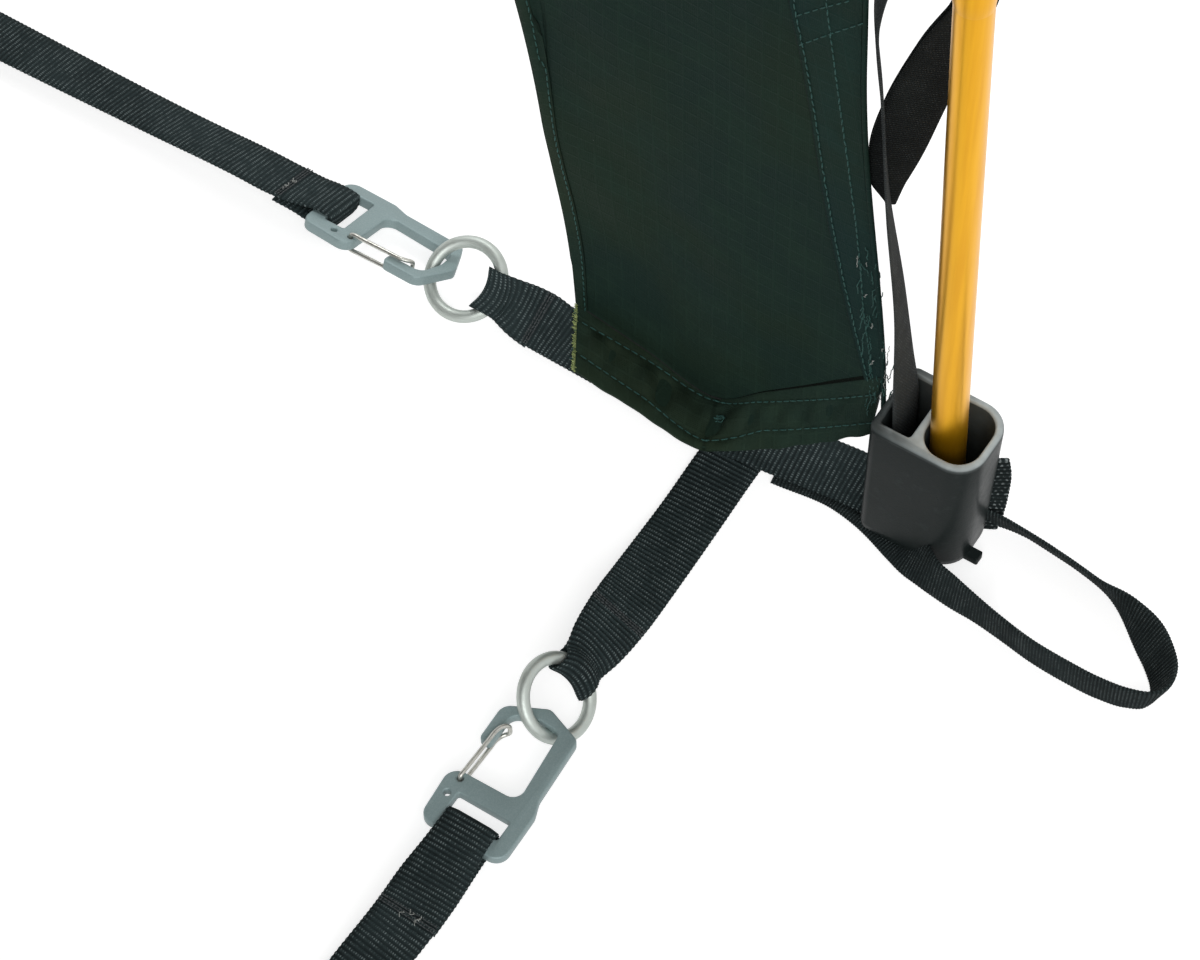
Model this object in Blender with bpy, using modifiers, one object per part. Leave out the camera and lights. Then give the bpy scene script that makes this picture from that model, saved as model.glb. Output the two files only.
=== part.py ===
import bpy
import bmesh
import math
from mathutils import Vector, Matrix

# Driving dimensions in metres: the tent.
FOOT_X = 1.100
FOOT_Y = 0.900
APEX_Z = 1.250
SHAPE = 2.6
POLE_D = 0.0110
POLE_LEAN = 0.044
STRAIGHT_Z = 0.27
BLEND_Z = 0.55
SLEEVE_D = 0.0186
CLOTH = 0.0006
SIDE_ARCH_Z = 0.50
DOOR_ARCH_Z = 0.95
DOOR_FOOT_Z = 0.30
SLEEVE_Z = 0.32
LEG_DRAW = 0.0095

# Driving dimensions in millimetres: one corner, measured from the strap junction.
MM = 0.001
PX, PY, PZ = 3.6, -68.0, 6.2
WEB_W = 20.0
WEB_T = 1.3
GAP = 0.3
RING_R = 11.6
WIRE_R = 1.9
HOOK_T = 3.6
GATE_R = 0.7
CUP_Z0, CUP_Z1 = 3.4, 59.0
TAPE_W = 15.0
TAPE_T = 0.9

JX = FOOT_X - PX * MM
JY = FOOT_Y + PY * MM
CORNERS = (("front_right", 1, -1), ("front_left", -1, -1), ("back_left", -1, 1), ("back_right", 1, 1))

for old in list(bpy.data.objects):
    bpy.data.objects.remove(old, do_unlink=True)

tent = bpy.data.collections.new("three_person_tent")
cutters = bpy.data.collections.new("cutters")
bpy.context.scene.collection.children.link(tent)
bpy.context.scene.collection.children.link(cutters)


def colour(name, rgb, metallic=0.0, rough=0.6):
    mat = bpy.data.materials.new(name)
    mat.use_nodes = True
    shader = mat.node_tree.nodes["Principled BSDF"]
    shader.inputs["Base Color"].default_value = (rgb[0], rgb[1], rgb[2], 1.0)
    shader.inputs["Metallic"].default_value = metallic
    shader.inputs["Roughness"].default_value = rough
    return mat


LOOKS = {
    "web": ((0.020, 0.024, 0.026), 0.0, 0.8), "tape": ((0.022, 0.025, 0.026), 0.0, 0.75),
    "fly": ((0.013, 0.024, 0.021), 0.0, 0.7), "sleeve": ((0.016, 0.028, 0.022), 0.0, 0.75),
    "pole": ((0.75, 0.38, 0.02), 1.0, 0.3), "cup": ((0.020, 0.022, 0.023), 0.0, 0.35),
    "hook": ((0.20, 0.26, 0.27), 1.0, 0.4), "ring": ((0.55, 0.57, 0.54), 1.0, 0.35),
    "gate": ((0.6, 0.6, 0.58), 1.0, 0.3), "buckle": ((0.022, 0.023, 0.024), 0.0, 0.4)}


def corner_point(p, sx, sy):
    return Vector((sx * (JX + p[0] * MM), sy * (JY - p[1] * MM), p[2] * MM))


# One object from vertices and faces, turned outward; a twisted band is split into triangles.
def add(name, verts, faces, look, smooth=False, split=False):
    mesh = bpy.data.meshes.new(name)
    mesh.from_pydata([tuple(v) for v in verts], [], faces)
    bm = bmesh.new()
    bm.from_mesh(mesh)
    bmesh.ops.recalc_face_normals(bm, faces=bm.faces)
    if bm.calc_volume(signed=True) < 0:
        bmesh.ops.reverse_faces(bm, faces=bm.faces)
    if split:
        bmesh.ops.triangulate(bm, faces=bm.faces)
    for f in bm.faces:
        f.smooth = smooth
    bm.to_mesh(mesh)
    bm.free()
    obj = bpy.data.objects.new(name, mesh)
    rgb, metallic, rough = LOOKS[look]
    obj.data.materials.append(colour(name, rgb, metallic, rough))
    tent.objects.link(obj)
    return obj


def cutter(name, verts, faces):
    obj = add(name, verts, faces, "cup")
    tent.objects.unlink(obj)
    cutters.objects.link(obj)
    obj.hide_render = True
    obj.display_type = "WIRE"
    return obj


def boolean(obj, other, operation):
    mod = obj.modifiers.new(operation.lower(), "BOOLEAN")
    mod.operation = operation
    mod.solver = "EXACT"
    mod.object = other
    return mod


# Quads between successive closed rings of vertices, with a cap at each end.
def skin(rings, caps=True, closed=False):
    verts = []
    faces = []
    n = len(rings[0])
    for ring in rings:
        verts.extend(ring)
    count = len(rings)
    last = count if closed else count - 1
    for i in range(last):
        a = i * n
        b = ((i + 1) % count) * n
        for k in range(n):
            q = (k + 1) % n
            faces.append((a + k, a + q, b + q, b + k))
    if caps and not closed:
        faces.append(tuple(range(n - 1, -1, -1)))
        faces.append(tuple((count - 1) * n + k for k in range(n)))
    return verts, faces


# A flat band along a path of (point, normal, width, lead); lead moves the edges along the path's start axis.
def band(path, thick, cols=1, axis=None, radius=None, squeeze=None):
    rings = []
    count = len(path)
    for i in range(count):
        p, n, w, lead = path[i]
        before = path[max(0, i - 1)][0]
        after = path[min(count - 1, i + 1)][0]
        t = (Vector(after) - Vector(before)).normalized()
        side = Vector(n).cross(t).normalized()
        up = t.cross(side).normalized()
        top = []
        low = []
        for k in range(cols + 1):
            s = (k / cols - 0.5) * w
            shift = Vector((0.0, 0.0, 0.0))
            if axis is not None and lead > 0.0:
                shift = Vector(axis) * (lead * (radius - math.sqrt(radius * radius - s * s)))
            top.append(Vector(p) + side * s + up * (thick / 2) + shift)
            low.append(Vector(p) + side * s - up * (thick / 2) + shift)
        rings.append(top + low[::-1])
    return rings


def tube(points, radius, sides, start=None):
    rings = []
    count = len(points)
    radii = radius if isinstance(radius, list) else [radius] * count
    frame = Vector(start) if start else Vector((0.0, 0.0, 1.0))
    for i in range(count):
        before = points[max(0, i - 1)]
        after = points[min(count - 1, i + 1)]
        t = (Vector(after) - Vector(before)).normalized()
        frame = (frame - t * frame.dot(t)).normalized()
        side = t.cross(frame)
        ring = []
        for k in range(sides):
            a = 2 * math.pi * k / sides
            ring.append(Vector(points[i]) + frame * (radii[i] * math.cos(a)) + side * (radii[i] * math.sin(a)))
        rings.append(ring)
    return rings


def put(rings, sx, sy):
    return [[corner_point(p, sx, sy) for p in ring] for ring in rings]


def lerp(a, b, t):
    return a + (b - a) * t


# Pole line in the vertical plane through two opposite feet: distance from the middle and height.
HALF = math.hypot(FOOT_X, FOOT_Y)


def arc(z):
    return HALF * (1.0 - (z / APEX_Z) ** SHAPE) ** (1.0 / SHAPE)


def pole_profile(lift=0.0):
    z0 = PZ * MM
    top = STRAIGHT_Z
    pts = [(HALF, z0), (HALF - POLE_LEAN * (top - z0), top)]
    r1 = arc(BLEND_Z)
    s1 = (arc(BLEND_Z + 0.001) - r1) / 0.001
    r0 = pts[1][0]
    for k in range(1, 5):
        t = k / 5
        dz = BLEND_Z - top
        h00 = 2 * t ** 3 - 3 * t * t + 1
        h10 = t ** 3 - 2 * t * t + t
        h01 = -2 * t ** 3 + 3 * t * t
        h11 = t ** 3 - t * t
        r = h00 * r0 + h10 * dz * -POLE_LEAN + h01 * r1 + h11 * dz * s1
        pts.append((r, lerp(top, BLEND_Z, t)))
    low = math.atan2((BLEND_Z / APEX_Z) ** (SHAPE / 2), (r1 / HALF) ** (SHAPE / 2))
    for k in range(0, 13):
        a = lerp(low, math.pi / 2, k / 12)
        c = max(0.0, math.cos(a))
        pts.append((HALF * c ** (2 / SHAPE), APEX_Z * math.sin(a) ** (2 / SHAPE)))
    return [(r, z + lift * smooth(max(0.0, min(1.0, (0.8 - r) / 0.6)))) for r, z in pts]


def smooth(t):
    return t * t * (3 - 2 * t)


DIRX = FOOT_X / HALF
DIRY = FOOT_Y / HALF


# The two crossing poles; the second one passes over the first.
def pole(name, sx, sy, lift):
    prof = pole_profile(lift)
    pts = [Vector((sx * r * DIRX, sy * r * DIRY, z)) for r, z in prof]
    other = [Vector((-p[0], -p[1], p[2])) for p in pts[:-1]]
    line = pts + other[::-1]
    verts, faces = skin(tube(line, POLE_D / 2, 8, (sy * DIRY, -sx * DIRX, 0.0)))
    return add(name, verts, faces, "pole", True)


POLE_LIFT = SLEEVE_D + 0.0012
pole("pole_lower", 1, -1, 0.0)
pole("pole_upper", -1, -1, POLE_LIFT)


# Sleeve round a pole, drawn in at both mouths until it sits on the pole.
def sleeve(name, sx, sy, lift):
    prof = [p for p in pole_profile(lift) if p[1] > SLEEVE_Z]
    pts = [Vector((sx * r * DIRX, sy * r * DIRY, z)) for r, z in prof]
    other = [Vector((-p[0], -p[1], p[2])) for p in pts[:-1]]
    line = pts + other[::-1]
    start = (sy * DIRY, -sx * DIRX, 0.0)
    bore = SLEEVE_D / 2 - CLOTH
    mouth = (POLE_D / 2 + GAP * MM) / math.cos(math.pi / 6)
    bores = [mouth] + [bore] * (len(line) - 2) + [mouth]
    outer = tube(line, [r + CLOTH for r in bores], 6, start)
    inner = tube(line, bores, 6, start)
    verts, faces = skin(outer + inner[::-1], closed=True)
    return add(name, verts, faces, "sleeve", True)


sleeve("sleeve_lower", 1, -1, 0.0)
sleeve("sleeve_upper", -1, -1, POLE_LIFT)


# Ridge of the fly: beside the pole at the foot, close under the sleeve higher up.
def ridge_line():
    prof = pole_profile()
    fine = []
    for i in range(len(prof) - 1):
        steps = 4 if prof[i + 1][1] < 0.6 else 1
        for k in range(steps):
            t = k / steps
            fine.append((lerp(prof[i][0], prof[i + 1][0], t), lerp(prof[i][1], prof[i + 1][1], t)))
    fine.append(prof[-1])
    pts = []
    count = len(fine)
    for i in range(count):
        a = fine[max(0, i - 1)]
        b = fine[min(count - 1, i + 1)]
        tr, tz = b[0] - a[0], b[1] - a[1]
        ln = math.hypot(tr, tz)
        nr, nz = -tz / ln, tr / ln
        r, z = fine[i]
        t = smooth(max(0.0, min(1.0, (z - 0.24) / 0.18)))
        high = Vector(((r + nr * 0.0118) * DIRX, (r + nr * 0.0118) * DIRY, z + nz * 0.0118))
        side = 0.0222 + 0.0128 * smooth(max(0.0, min(1.0, (z - 0.05) / 0.16)))
        low = Vector((r * DIRX + 0.0005, r * DIRY - side, z))
        p = low.lerp(high, t)
        if not pts or p.z > pts[-1].z + 0.0005:
            pts.append(p)
    top = Vector((0.0045, 0.0045 * FOOT_Y / FOOT_X, APEX_Z - 0.0118))
    return [p for p in pts if p.x > 0.030] + [top]


RIDGE = ridge_line()
RUN = [0.0]
for i in range(1, len(RIDGE)):
    RUN.append(RUN[-1] + (RIDGE[i] - RIDGE[i - 1]).length)


def ridge_by(values, x):
    for i in range(len(RIDGE) - 1):
        if values[i] <= x <= values[i + 1]:
            t = (x - values[i]) / (values[i + 1] - values[i])
            return RIDGE[i].lerp(RIDGE[i + 1], t), lerp(RUN[i], RUN[i + 1], t)
    return (RIDGE[0], RUN[0]) if x < values[0] else (RIDGE[-1], RUN[-1])


HEIGHTS = [p.z for p in RIDGE]
DOOR_RUN = ridge_by(HEIGHTS, DOOR_FOOT_Z)[1]
EDGE = 0.0007


def bezier(p0, p1, p2, p3, t):
    u = 1 - t
    return (u ** 3 * p0[0] + 3 * u * u * t * p1[0] + 3 * u * t * t * p2[0] + t ** 3 * p3[0],
            u ** 3 * p0[1] + 3 * u * u * t * p1[1] + 3 * u * t * t * p2[1] + t ** 3 * p3[1])


# Corner leg of the side wall, in corner millimetres: outer and inner edge of the hem band.
HEM_OUT = ((-9.2, 57.7, 3.75), (-11.2, 32.4, 3.75), (-12.4, 8.6, 3.9), (-4.5, -7.8, 7.8),
           (0.6, -23.5, 18.0), (5.4, -40.0, 31.0))
HEM_IN = ((11.5, 70.0, 4.6), (8.5, 43.0, 4.6), (4.6, 13.7, 5.8), (4.3, -4.0, 25.0),
          (4.2, -21.0, 41.0), (3.0, -42.6, 56.0))
LOW_ROWS = 3
TOP_ROWS = 8


# Columns of points from one ridge to the other; each column runs from the wall's lower edge to the apex.
def wall_columns(along, feet, curve, count):
    cols = []
    for lower, inner in feet:
        ridge, run = ridge_by(HEIGHTS, inner[2])
        width = ridge.y - EDGE if along == "y" else ridge.x - EDGE
        w = inner[1] / width if along == "y" else inner[0] / width
        cols.append((lower, inner, min(w, 1.0), run))
    for j in range(count + 1):
        t = j / count
        a, z = bezier(*curve, t)
        ridge, run = ridge_by(HEIGHTS, z)
        width = ridge.y - EDGE if along == "y" else ridge.x - EDGE
        cols.append((None, None, min(a / width, 1.0), run))
    return cols


# The leg's free edge is drawn toward the ridge above the foot; the pull fades out below the arch.
def drawn(y, width, z):
    pull = LEG_DRAW * smooth(max(0.0, min(1.0, (z - 0.01) / 0.25))) * (1 - smooth(max(0.0, min(1.0, (z - 0.32) / 0.16))))
    edge = width
    for (a, low), (b, high) in zip(SIDE_EDGE, SIDE_EDGE[1:]):
        if low <= z <= high:
            edge = lerp(a, b, (z - low) / (high - low))
    return y + pull * min(1.0, (width - y) / (width - edge)) if edge < width else y


def wall_half(along, cols):
    lines = []
    for lower, inner, w, run in cols:
        line = []
        if lower is not None:
            line.append(Vector(lower))
            line.append(Vector(inner))
            first = 1
        else:
            line.append(None)
            first = 0
        low = LOW_ROWS if along == "y" else 0
        rows = low + TOP_ROWS
        for i in range(first, rows + 1):
            if run > DOOR_RUN + 1e-6:
                at = lerp(run, RUN[-1], i / rows)
            elif i < low:
                at = lerp(run, DOOR_RUN, i / low)
            else:
                at = lerp(DOOR_RUN, RUN[-1], (i - low) / TOP_ROWS)
            p, _ = ridge_by(RUN, at)
            if along == "y":
                q = Vector((p.x, drawn(w * (p.y - EDGE), p.y - EDGE, p.z), p.z))
            else:
                q = Vector((w * (p.x - EDGE), p.y, p.z))
            line.append(q)
        lines.append(line)
    return lines


def wall(name, along, side, lines):
    sign = Vector((1, -1, 1)) if along == "y" else Vector((-1, 1, 1))
    far = [[None if p is None else Vector((p[0] * sign[0], p[1] * sign[1], p[2])) for p in ln]
           for ln in lines[:-1]]
    grid = lines + far[::-1]
    turn = Vector((side, 1, 1)) if along == "y" else Vector((1, side, 1))
    verts = []
    index = []
    for line in grid:
        row = []
        for p in line:
            if p is None:
                row.append(None)
            else:
                row.append(len(verts))
                verts.append(Vector((p[0] * turn[0], p[1] * turn[1], p[2])))
        index.append(row)
    faces = []
    for c in range(len(grid) - 1):
        for r in range(len(index[0]) - 1):
            q = [index[c][r], index[c + 1][r], index[c + 1][r + 1], index[c][r + 1]]
            q = [k for k in q if k is not None]
            if len(q) >= 4:
                faces.append(tuple(q))
    obj = add(name, verts, faces, "fly", True)
    mod = obj.modifiers.new("cloth", "SOLIDIFY")
    mod.thickness = CLOTH
    mod.offset = 0.0
    return obj


def local_to_tent(p):
    return (JX + p[0] * MM, JY - p[1] * MM, p[2] * MM)


leg = [(local_to_tent(a), local_to_tent(b)) for a, b in zip(HEM_OUT[::-1], HEM_IN[::-1])]
foot = local_to_tent(HEM_IN[0])
side_curve = ((foot[1] - 0.0002, foot[2] + 0.003), (foot[1] - 0.005, 0.40), (0.52, SIDE_ARCH_Z), (0.0, SIDE_ARCH_Z))
SIDE_EDGE = [bezier(*side_curve, k / 40) for k in range(41)]
side_lines = wall_half("y", wall_columns("y", leg, side_curve, 6))
start, _ = ridge_by(HEIGHTS, DOOR_FOOT_Z)
top_in, _ = ridge_by(HEIGHTS, DOOR_FOOT_Z + 0.06)
door_curve = ((start.x - EDGE, DOOR_FOOT_Z), (top_in.x - 0.05, 0.62), (0.50, DOOR_ARCH_Z), (0.0, DOOR_ARCH_Z))
door_lines = wall_half("x", wall_columns("x", (), door_curve, 8))
wall("fly_side_right", "y", 1, side_lines)
wall("fly_side_left", "y", -1, side_lines)
wall("fly_front", "x", -1, door_lines)
wall("fly_back", "x", 1, door_lines)


def axis_mix(a, b, degrees):
    t = math.radians(degrees)
    return Vector(a) * math.cos(t) + Vector(b) * math.sin(t)


UP = Vector((0.0, 0.0, 1.0))
REACH = WIRE_R + 0.85 + WEB_T / 2
LAYER = WEB_T / 2 + 0.16


# Webbing that runs to a ring, turns round its wire and comes back under itself to a stitched bar.
def ring_strap(single, double, c, along, tilt, roll):
    path = [(Vector(p), axis_mix(UP, tilt, r), WEB_W, 0.0) for p, r in single]
    mids = []
    for p, r, w, lead in double:
        n = axis_mix(UP, tilt, r)
        mids.append((Vector(p), n, w, lead))
        path.append((Vector(p) + n * LAYER, n, w, lead))
    n = axis_mix(UP, tilt, roll)
    for deg in (-20, 20, 60, 90, 120, 160, 200):
        out = axis_mix(n, along, deg)
        path.append((Vector(c) + out * REACH, out, 14.0, 1.0))
    for p, m, w, lead in reversed(mids):
        path.append((p - m * LAYER, -m, w, lead))
    return path


SIDE_DIR = Vector((0.0, 1.0, 0.0))
FRONT_DIR = Vector((-1.0, 0.0, 0.0))
FOLD_SIDE = Vector((-1.9, 92.2, 9.2))
FOLD_FRONT = Vector((-102.6, -3.3, 10.4))
ROLL_SIDE, ROLL_FRONT = 30.0, 43.0
TILT_SIDE = Vector((-1.0, 0.0, 0.0))
TILT_FRONT = Vector((0.0, -1.0, 0.0))


def corner_webbing(name, sx, sy):
    a = ring_strap(
        [((4.0, -68.0, 2.45), 0), ((4.6, -40.0, 2.45), 0), ((1.5, -12.0, 2.45), 0), ((-1.0, 12.0, 2.45), 0),
         ((0.5, 70.5, 2.45), 0)],
        [((0.2, 76.5, 4.0), 8, 20.0, 0.0), ((-0.5, 82.0, 6.0), 18, 18.0, 0.25), ((-1.2, 87.0, 8.2), 26, 15.0, 0.8)],
        FOLD_SIDE, SIDE_DIR, TILT_SIDE, ROLL_SIDE)
    b = ring_strap(
        [((9.0, 0.0, 1.3), 0), ((-14.0, 0.0, 1.3), 0), ((-34.0, -0.5, 1.3), 0), ((-52.0, -1.0, 2.6), 6),
         ((-66.0, -1.6, 4.6), 14)],
        [((-77.0, -2.0, 6.4), 24, 20.0, 0.0), ((-89.6, -2.7, 8.6), 34, 18.0, 0.25),
         ((-97.4, -3.1, 9.9), 40, 15.0, 0.8)],
        FOLD_FRONT, FRONT_DIR, TILT_FRONT, ROLL_FRONT)
    verts, faces = skin(put(band(a, WEB_T, 3, SIDE_DIR, RING_R), sx, sy))
    obj = add(name, verts, faces, "web")
    verts, faces = skin(put(band(b, WEB_T, 3, FRONT_DIR, RING_R), sx, sy))
    other = cutter(name + "_front", verts, faces)
    boolean(obj, other, "UNION")
    return obj


def ring(name, sx, sy, fold, along, tilt, roll):
    n = axis_mix(UP, tilt, roll)
    c = fold + along * RING_R
    w = n.cross(along).normalized()
    rings = []
    for i in range(18):
        a = 2 * math.pi * i / 18
        d = along * math.cos(a) + w * math.sin(a)
        rings.append([c + d * (RING_R + WIRE_R * math.cos(2 * math.pi * k / 6 + 0.5))
                      + n * (WIRE_R * math.sin(2 * math.pi * k / 6 + 0.5)) for k in range(6)])
    verts, faces = skin(put(rings, sx, sy), closed=True)
    return add(name, verts, faces, "ring", True)


# Outline of the gated hook seen flat: u runs from the ring end to the strap end, v toward the gate.
HOOK = ((-6.5, 13.2), (-9.3, 14.5), (-12.2, 14.8), (-15.2, 13.6), (-19.4, 11.3), (-24.0, 2.2), (-24.3, -1.6),
        (-20.3, -11.2), (-16.0, -13.4), (-6.6, -13.2), (2.8, -13.0), (8.0, -15.2), (15.6, -15.6), (23.5, -15.5),
        (27.0, -13.9), (28.0, -10.5), (27.0, 10.0), (26.2, 12.6), (24.2, 13.9), (19.8, 14.7), (15.1, 15.6),
        (12.3, 15.6), (9.7, 14.2), (8.2, 11.4), (7.2, 8.4), (8.0, 5.0), (7.4, 1.2), (6.0, -3.2), (3.6, -6.8),
        (1.1, -7.2), (-2.1, -6.7), (-9.4, -6.3), (-16.2, -5.9), (-17.8, -4.2), (-18.4, -1.4), (-17.4, 1.9),
        (-16.3, 5.5), (-14.2, 7.9), (-11.2, 8.8), (-7.7, 8.5), (-6.3, 10.4))
SLOT = (14.7, 18.1, -11.2, 9.6)
PIN = (11.7, 10.3)
HOLE2 = (16.4, 12.2)
GATE_END = (-10.4, 7.2)
ROLL_HOOK = -22.0
HOOK_FRAMES = {
    "front": (Vector((-117.0, -4.5, 9.3)) + FRONT_DIR * (2 * RING_R), FRONT_DIR, Vector((0.0, 1.0, 0.0)), UP.copy()),
    "side": (Vector((-1.9, 106.4, 8.8)) + SIDE_DIR * (2 * RING_R), SIDE_DIR, axis_mix(TILT_SIDE, -UP, ROLL_HOOK),
             axis_mix(UP, TILT_SIDE, ROLL_HOOK))}


def framed(frame, u, v, n):
    o, eu, ev, en = frame
    return o + eu * u + ev * v + en * n


def prism(frame, outline, low, high, sx, sy):
    bottom = [corner_point(framed(frame, u, v, low), sx, sy) for u, v in outline]
    top = [corner_point(framed(frame, u, v, high), sx, sy) for u, v in outline]
    return skin([bottom, top])


def circle(c, r, sides):
    return [(c[0] + r * math.cos(2 * math.pi * k / sides), c[1] + r * math.sin(2 * math.pi * k / sides))
            for k in range(sides)]


def hook(name, frame, sx, sy):
    verts, faces = prism(frame, HOOK, -HOOK_T / 2, HOOK_T / 2, sx, sy)
    obj = add(name, verts, faces, "hook")
    u0, u1, v0, v1 = SLOT
    shapes = (((u0, v0), (u1, v0), (u1, v1), (u0, v1)), circle(PIN, GATE_R + GAP, 10), circle(HOLE2, 0.8, 8))
    for i, shape in enumerate(shapes):
        verts, faces = prism(frame, shape, -HOOK_T, HOOK_T, sx, sy)
        boolean(obj, cutter(name + "_cut%d" % i, verts, faces), "DIFFERENCE")
    return obj


def gate(name, frame, sx, sy):
    z = HOOK_T / 2 + GAP + GATE_R + 0.1
    half = [(PIN[0], PIN[1], 0.35), (PIN[0], PIN[1], z - 0.8), (PIN[0] - 0.3, PIN[1] - 0.05, z - 0.2),
            (PIN[0] - 1.0, PIN[1] - 0.14, z), (GATE_END[0] + 1.9, GATE_END[1] + 0.26, z),
            (GATE_END[0] + 0.6, GATE_END[1] + 0.08, z - 0.6), (GATE_END[0], GATE_END[1], z - 1.8)]
    line = half + [(u, v, -n) for u, v, n in reversed(half)]
    pts = [framed(frame, *p) for p in line]
    verts, faces = skin(put(tube(pts, GATE_R, 6, frame[1]), sx, sy))
    axis = corner_point(framed(frame, PIN[0], PIN[1], 0.0), sx, sy)
    obj = add(name, [v - axis for v in verts], faces, "gate", True)
    obj.location = axis
    return obj


# Base strap between the hooks of two corners: through each slot, back under itself, flat between.
SLOT_MID = (SLOT[0] + SLOT[1]) / 2
STRAP_END = ((54.0, -0.81), (44.0, -0.85), (34.0, -1.5), (28.6, -2.76), (19.3, -2.80), (17.5, -2.55),
             (SLOT_MID, -1.4), (SLOT_MID, 1.4), (17.5, 2.55), (19.3, 2.80), (28.6, 2.76), (34.0, 1.5),
             (44.0, 0.85), (54.0, 0.81))


def base_half(frame, rest, sx, sy):
    o, eu, ev, en = frame
    path = []
    for u, n in STRAP_END:
        i = len(path)
        a = STRAP_END[max(0, i - 1)]
        b = STRAP_END[min(len(STRAP_END) - 1, i + 1)]
        du, dn = b[0] - a[0], b[1] - a[1]
        ln = math.hypot(du, dn)
        normal = eu * (-dn / ln) + en * (du / ln)
        drop = smooth(max(0.0, min(1.0, (u - 28.0) / 70.0)))
        path.append((framed(frame, u, -0.8, n) - UP * (rest[0] * drop), normal, WEB_W, 0.0))
    for p, roll, tilt in rest[1]:
        path.append((Vector(p), axis_mix(UP, tilt, roll), WEB_W, 0.0))
    out = []
    for p, n, w, lead in path:
        q = corner_point(p, sx, sy) / MM
        out.append((q, Vector((sx * n[0], -sy * n[1], n[2])), w, lead))
    return out


REST_FRONT = (2.0, (((-215.0, -3.4, 5.2), 0, TILT_FRONT), ((-290.0, -2.0, 2.6), 0, TILT_FRONT),
                    ((-420.0, -1.0, 1.4), 0, TILT_FRONT)))
REST_SIDE = (0.6, (((0.2, 215.0, 5.4), -22, TILT_SIDE), ((-0.4, 290.0, 3.6), -15, TILT_SIDE),
                   ((-0.2, 420.0, 2.2), -6, TILT_SIDE), ((0.4, 560.0, 1.6), 0, TILT_SIDE)))


def base_strap(name, frame, rest, first, second):
    path = base_half(frame, rest, *first) + base_half(frame, rest, *second)[::-1]
    rings = [[p * MM for p in rg] for rg in band(path, WEB_T, 1)]
    verts, faces = skin(rings)
    return add(name, verts, faces, "web")


# Peg loop: flat under the corner webbing and the cup, then on edge round to the cup's outer end.
LOOP_W = 15.0
LOOP = (((-2.6, -14.0), 0, None), ((-0.5, -38.0), 0, None), ((-3.4, -54.0), 0, None), ((-7.4, -66.5), 0, None),
        ((-9.6, -74.0), 5, None), ((-11.0, -80.8), 9, None), ((-13.4, -85.5), 38, None), ((-16.4, -90.0), 64, None),
        ((-19.6, -95.9), 90, -6), ((-20.8, -102.5), 90, 0), ((-21.4, -109.0), 90, 5), ((-22.0, -121.0), 90, 12),
        ((-22.3, -133.0), 90, 13), ((-21.3, -144.0), 90, 11), ((-18.6, -150.2), 90, 12), ((-14.2, -152.8), 90, 18),
        ((-9.2, -151.2), 90, 25), ((-3.6, -146.4), 90, 27), ((0.5, -141.1), 90, 26), ((5.1, -132.0), 90, 6),
        ((8.6, -121.2), 90, -20), ((10.6, -111.6), 90, -24), ((12.2, -100.1), 90, -22), ((12.6, -92.9), 90, -19),
        ((11.6, -87.4), 90, -10), ((9.2, -83.8), 90, 0), ((5.6, -82.5), 90, 0), ((1.6, -82.4), 90, 0))


def peg_loop(name, sx, sy):
    path = []
    count = len(LOOP)
    for i in range(count):
        (x, y), turn, lean = LOOP[i]
        a = LOOP[max(0, i - 1)][0]
        b = LOOP[min(count - 1, i + 1)][0]
        t = Vector((b[0] - a[0], b[1] - a[1], 0.0)).normalized()
        out = Vector((t[1], -t[0], 0.0))
        if lean is None:
            n = UP * math.cos(math.radians(turn)) + out * math.sin(math.radians(turn))
            z = (LOOP_W / 2) * math.sin(math.radians(turn)) + (WEB_T / 2) * math.cos(math.radians(turn))
        else:
            n = out * math.cos(math.radians(lean)) - UP * math.sin(math.radians(lean))
            z = (LOOP_W / 2) * math.cos(math.radians(lean)) + (WEB_T / 2) * abs(math.sin(math.radians(lean)))
        path.append((Vector((x, y, z)), n, LOOP_W, 0.0))
    verts, faces = skin(put(band(path, WEB_T, 1), sx, sy))
    return add(name, verts, faces, "web", split=True)


# Pole cup: a moulded foot with the pole chamber outside and the tape slot inside.
CUP_CX = 3.0
CUP_HX = 13.5
CUP_Y0, CUP_Y1 = -81.0, -45.6
CHAMBER = (3.0, -69.6, 11.0, 8.9)
TAPE_SLOT = (-6.8, 12.8, -58.2, -48.2)


def rounded(cx, cy, hx, hy, r_out, r_in, steps):
    pts = []
    for qx, qy, start, r in ((1, 1, 0, r_in), (-1, 1, 90, r_in), (-1, -1, 180, r_out), (1, -1, 270, r_out)):
        for k in range(steps + 1):
            a = math.radians(start + 90 * k / steps)
            pts.append((cx + qx * (hx - r) + r * math.cos(a), cy + qy * (hy - r) + r * math.sin(a)))
    return pts


def plan(points, z):
    return [Vector((p[0], p[1], z)) for p in points]


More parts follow.
